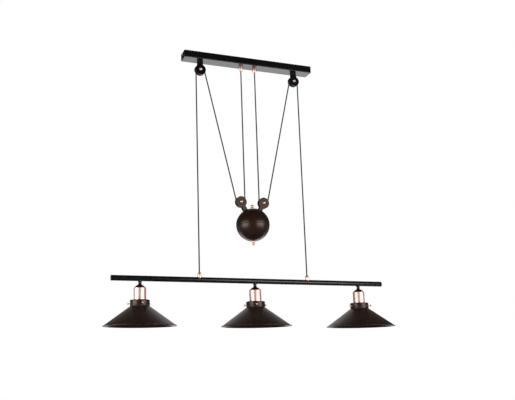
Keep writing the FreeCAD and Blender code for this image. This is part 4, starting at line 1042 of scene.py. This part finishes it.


# %% [markdown]
# The cover, the bar and the caps have a neutral satin black paint. The shades, the galleries, the
# ball and the yokes on the ball are a warmer, brown-tinged black. Both are sprayed, so they share
# one recipe: mottled paint, lighter on eased edges in a broken line (rubbed paint and a painted
# glint), with a little dust on top.

# %% Satin black and bronze black paint
def paint(name, colour, second, rubbed_and_glint_colour, gloss, specular, tint, dust):
    tree, shader, place, coat = grained(
        name, colour, second, gloss, unevenness=0.10, scale=900.0, depth=0.006, patches=40.0,
        Specular_IOR_Level=specular, Specular_Tint=(*tint, 1))
    # Eased edges get a lighter colour in a broken line: partly paint rubbed thin, partly a painted glint.
    rubbed_and_glinting = use(tree, WORN_EDGE_AND_GLINT, {"Vector": place, "Colour": coat, "Laid": (*rubbed_and_glint_colour, 1), "Amount": 0.5})
    dusty = use(tree, DUST, {"Vector": place, "Colour": rubbed_and_glinting["Colour"], "Amount": dust})
    tree.links.new(dusty["Colour"], shader.inputs["Base Color"])


# The third colour is the lighter edge colour: rubbed paint and a painted glint.
paint("satin_black_paint", colour=(0.0020, 0.0016, 0.0018), second=(0.0032, 0.0028, 0.0030),
      rubbed_and_glint_colour=(0.02, 0.02, 0.02), gloss=0.28, specular=0.35, tint=(1, 1, 1), dust=0.06)
paint("bronze_black_paint", colour=(0.0180, 0.0068, 0.0044), second=(0.0230, 0.0098, 0.0066),
      rubbed_and_glint_colour=(0.06, 0.045, 0.035), gloss=0.35, specular=0.38, tint=(1, 0.80, 0.70), dust=0.02)

# %% Copper plate
COPPER, LIGHT_COPPER = (0.90, 0.565, 0.485, 1), (0.95, 0.64, 0.56, 1)
COPPER_GLOSS = (0.43, 0.53)
RING_DEPTH = 0.001 * MM

tree, shader, places = new_finish("copper_plate", Metallic=1.0)
marks = use(tree, TURNING_MARKS, {"Vector": places["Object"]})
tree.links.new(mix(tree, marks["Shade"], COPPER, LIGHT_COPPER), shader.inputs["Base Color"])
tree.links.new(ramp(tree, marks["Shade"], 0, 1, *COPPER_GLOSS), shader.inputs["Roughness"])
bump_on(tree, shader, marks["Height"], RING_DEPTH)

# %% [markdown]
# Behind the copper and the paint there is plain hardware: zinc-plated screws and strap, brass
# contacts, a cast core, ceramic and plastic insulators, and insulated wires. Each gets its own
# grain, since they show from above and from below.

# %% Hardware: metals, ceramic, plastics and wire insulation
# Each row: name, colour, second colour, gloss, grain scale, grain depth in mm, metallic.
HARDWARE = (
    ("zinc_steel", (0.50, 0.51, 0.53), (0.62, 0.62, 0.62), 0.34, 700.0, 0.01, 1.0),
    ("plain_brass", (0.74, 0.56, 0.28), (0.82, 0.66, 0.36), 0.28, 900.0, 0.006, 1.0),
    ("cast_core", (0.10, 0.10, 0.10), (0.16, 0.15, 0.14), 0.62, 450.0, 0.12, 0.6),
    ("white_ceramic", (0.80, 0.78, 0.73), (0.86, 0.84, 0.80), 0.22, 300.0, 0.02, 0.0),
    ("white_plastic", (0.78, 0.78, 0.75), (0.83, 0.82, 0.79), 0.5, 1200.0, 0.01, 0.0),
    ("black_plastic", (0.012, 0.012, 0.012), (0.018, 0.018, 0.018), 0.45, 1400.0, 0.02, 0.0),
    ("wire_insulation", (0.22, 0.10, 0.04), (0.28, 0.14, 0.07), 0.5, 600.0, 0.01, 0.0))
# How uneven the gloss is, and the scale of the mottled patches.
METAL_VARIES, OTHERS_VARY = (0.15, 120.0), (0.08, 90.0)

for name, colour, second, gloss, scale, depth, metallic in HARDWARE:
    unevenness, patches = METAL_VARIES if metallic else OTHERS_VARY
    tree, shader, place, coat = grained(
        name, colour, second, gloss, unevenness, scale, depth, patches, Metallic=metallic)
    tree.links.new(coat, shader.inputs["Base Color"])

# %% Textile flex
THREAD, LIGHT_THREAD = (0.022, 0.018, 0.017, 1), (0.048, 0.040, 0.038, 1)
BRAID_DEPTH = 0.25 * MM

tree, shader, places = new_finish("flex_fabric", Roughness=0.8, Sheen_Weight=0.3)
strands = use(tree, BRAID, {"Vector": places["UV"]})
tree.links.new(mix(tree, strands["Shade"], THREAD, LIGHT_THREAD), shader.inputs["Base Color"])
bump_on(tree, shader, strands["Height"], BRAID_DEPTH)

# %% Give every piece its finish
SPRAYED_WITH_THE_BALL = ("lower_yoke_left", "lower_yoke_right")

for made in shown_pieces():
    node = made.get("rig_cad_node")
    slot = made.get("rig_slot") or SLOT_OF[node]
    if node in SPRAYED_WITH_THE_BALL:
        slot = "bronze_black_paint"
    if made.data.materials:
        made.material_slots[0].material = FINISHES[slot]
    else:
        made.data.materials.append(FINISHES[slot])

# %% [markdown]
# ## Studio
# A product like this is shot against an overexposed white sweep, with a broad soft light on each
# side of the camera. The copper sleeves show it: two wide white bands, and a rose line between
# them where the dim camera side is mirrored. The sweep fades upwards, so the shades stay dark. The
# cover's underside mirrors overexposed ground far behind, and the shades' right slopes mirror a
# weak patch higher up. To the camera itself the background is plain white.

# %% White sweep that fades upwards
WHITE = (1, 1, 1, 1)
SWEEP_GLOW, TOP_GLOW = 0.25, 0.04
SWEEP_FADES = (0.05, 0.25)
ROOM_SHARE, ROOM_TURNS = 0.3, (-0.2, 0.5)
GROUND_GLOW = 3.0
GROUND_FADES, GROUND_BEGINS = (-0.4, -0.12), (0.5, 0.85)
PATCH_AROUND, PATCH_UP = radians(21), radians(30)
PATCH_EDGE, PATCH_CORE = radians(26), radians(12)
PATCH_GLOW = 0.8


def soft_ramp(tree, value, span, first, last):
    return ramp(tree, value, *span, first, last, course="SMOOTHSTEP")


def how_far_along(tree, way, other):
    return put(tree, "VectorMath", {0: way, 1: other}, operation="DOT_PRODUCT").outputs["Value"]


def direction(around, up):
    """The direction at these angles round from +Y and up from level."""
    return Vector((sin(around) * cos(up), cos(around) * cos(up), sin(up)))


world = bpy.data.worlds.new("white_sweep")
bpy.context.scene.world = world
world.use_nodes = True
tree = world.node_tree
tree.nodes.clear()
way = put(tree, "TexCoord").outputs["Generated"]
height = put(tree, "SeparateXYZ", {"Vector": way}).outputs["Z"]
depth = how_far_along(tree, way, (*direction(CAMERA_YAW, CAMERA_PITCH).xy, 0))
near = how_far_along(tree, way, direction(PATCH_AROUND, PATCH_UP))
sweep = maths(tree, "MULTIPLY", soft_ramp(tree, height, SWEEP_FADES, SWEEP_GLOW, TOP_GLOW),
              soft_ramp(tree, depth, ROOM_TURNS, ROOM_SHARE, 1.0))
ground = maths(tree, "MULTIPLY", soft_ramp(tree, height, GROUND_FADES, GROUND_GLOW, 0.0),
               soft_ramp(tree, depth, GROUND_BEGINS, 0.0, 1.0))
patch = soft_ramp(tree, near, (cos(PATCH_EDGE), cos(PATCH_CORE)), 0.0, PATCH_GLOW)
strength = maths(tree, "ADD", maths(tree, "ADD", sweep, ground), patch)
light = put(tree, "Background", {"Color": WHITE, "Strength": strength})
seen = put(tree, "Background", {"Color": WHITE, "Strength": 1.0})
both = put(tree, "MixShader", {0: put(tree, "LightPath").outputs["Is Camera Ray"],
                               1: light.outputs[0], 2: seen.outputs[0]})
put(tree, "OutputWorld", {"Surface": both.outputs[0]})
bpy.context.scene.view_settings.view_transform = "Standard"

# %% [markdown]
# The two highlights on the ball tell where the soft lights stand. Each is a little under half of
# the ball's radius from its middle, so it is mirrored from more than 50 degrees beside the camera.
# It sits a little high, so the lights are raised. The white bands on the sleeves are wide, so the
# lights are wide too. The foot of the sweep is a pale disc on the ground. Mirrors see it dim,
# because the ball's underside is dark in the photograph.

# %% Two soft lights and a pale floor
LIGHT_BESIDE = radians(54)
LIGHT_DISTANCE = 4.0
LIGHT_WIDTH, LIGHT_HEIGHT = 3.3, 1.8
LIGHT_RAISE = 0.72
LIGHT_RADIANCE = 7.0
FLOOR_DROP = 2.3
FLOOR_RADIUS = 2.6
FLOOR_SEGMENTS = 128
BLACK, DIM = (0, 0, 0, 1), (0.30, 0.30, 0.30, 1)
PALE, PALE_GLOW = (0.72, 0.72, 0.71, 1), (0.55, 0.55, 0.54, 1)


def soft_light(name, beside):
    way = (CAMERA_PLACE - BALL).normalized()
    way.rotate(Matrix.Rotation(beside, 3, "Z"))
    lamp = bpy.data.lights.new(name, "AREA")
    lamp.shape = "RECTANGLE"
    lamp.size, lamp.size_y = LIGHT_WIDTH, LIGHT_HEIGHT
    lamp.energy = LIGHT_RADIANCE * pi * LIGHT_WIDTH * LIGHT_HEIGHT
    holder = show(name, lamp)
    holder.location = BALL + way * LIGHT_DISTANCE + Vector((0, 0, LIGHT_RAISE))
    holder.rotation_mode = "QUATERNION"
    holder.rotation_quaternion = way.to_track_quat("Z", "Y")
    holder.visible_camera = False


soft_light("soft_light_left", -LIGHT_BESIDE)
soft_light("soft_light_right", LIGHT_BESIDE)

floor_shape = bmesh.new()
bmesh.ops.create_circle(floor_shape, cap_ends=True, segments=FLOOR_SEGMENTS, radius=FLOOR_RADIUS)
bmesh.ops.translate(floor_shape, vec=(0, 0, -FLOOR_DROP), verts=floor_shape.verts)
floor = show("pale_floor", mesh_of("pale_floor", floor_shape))
floor_tree, floor_shader, _ = new_finish("pale_floor", Roughness=0.8, Emission_Strength=1.0)
looked_at = put(floor_tree, "LightPath").outputs["Is Camera Ray"]
for label, mirrored, seen in (("Base Color", DIM, PALE), ("Emission Color", BLACK, PALE_GLOW)):
    floor_tree.links.new(mix(floor_tree, looked_at, mirrored, seen), floor_shader.inputs[label])
floor.data.materials.append(FINISHES["pale_floor"])
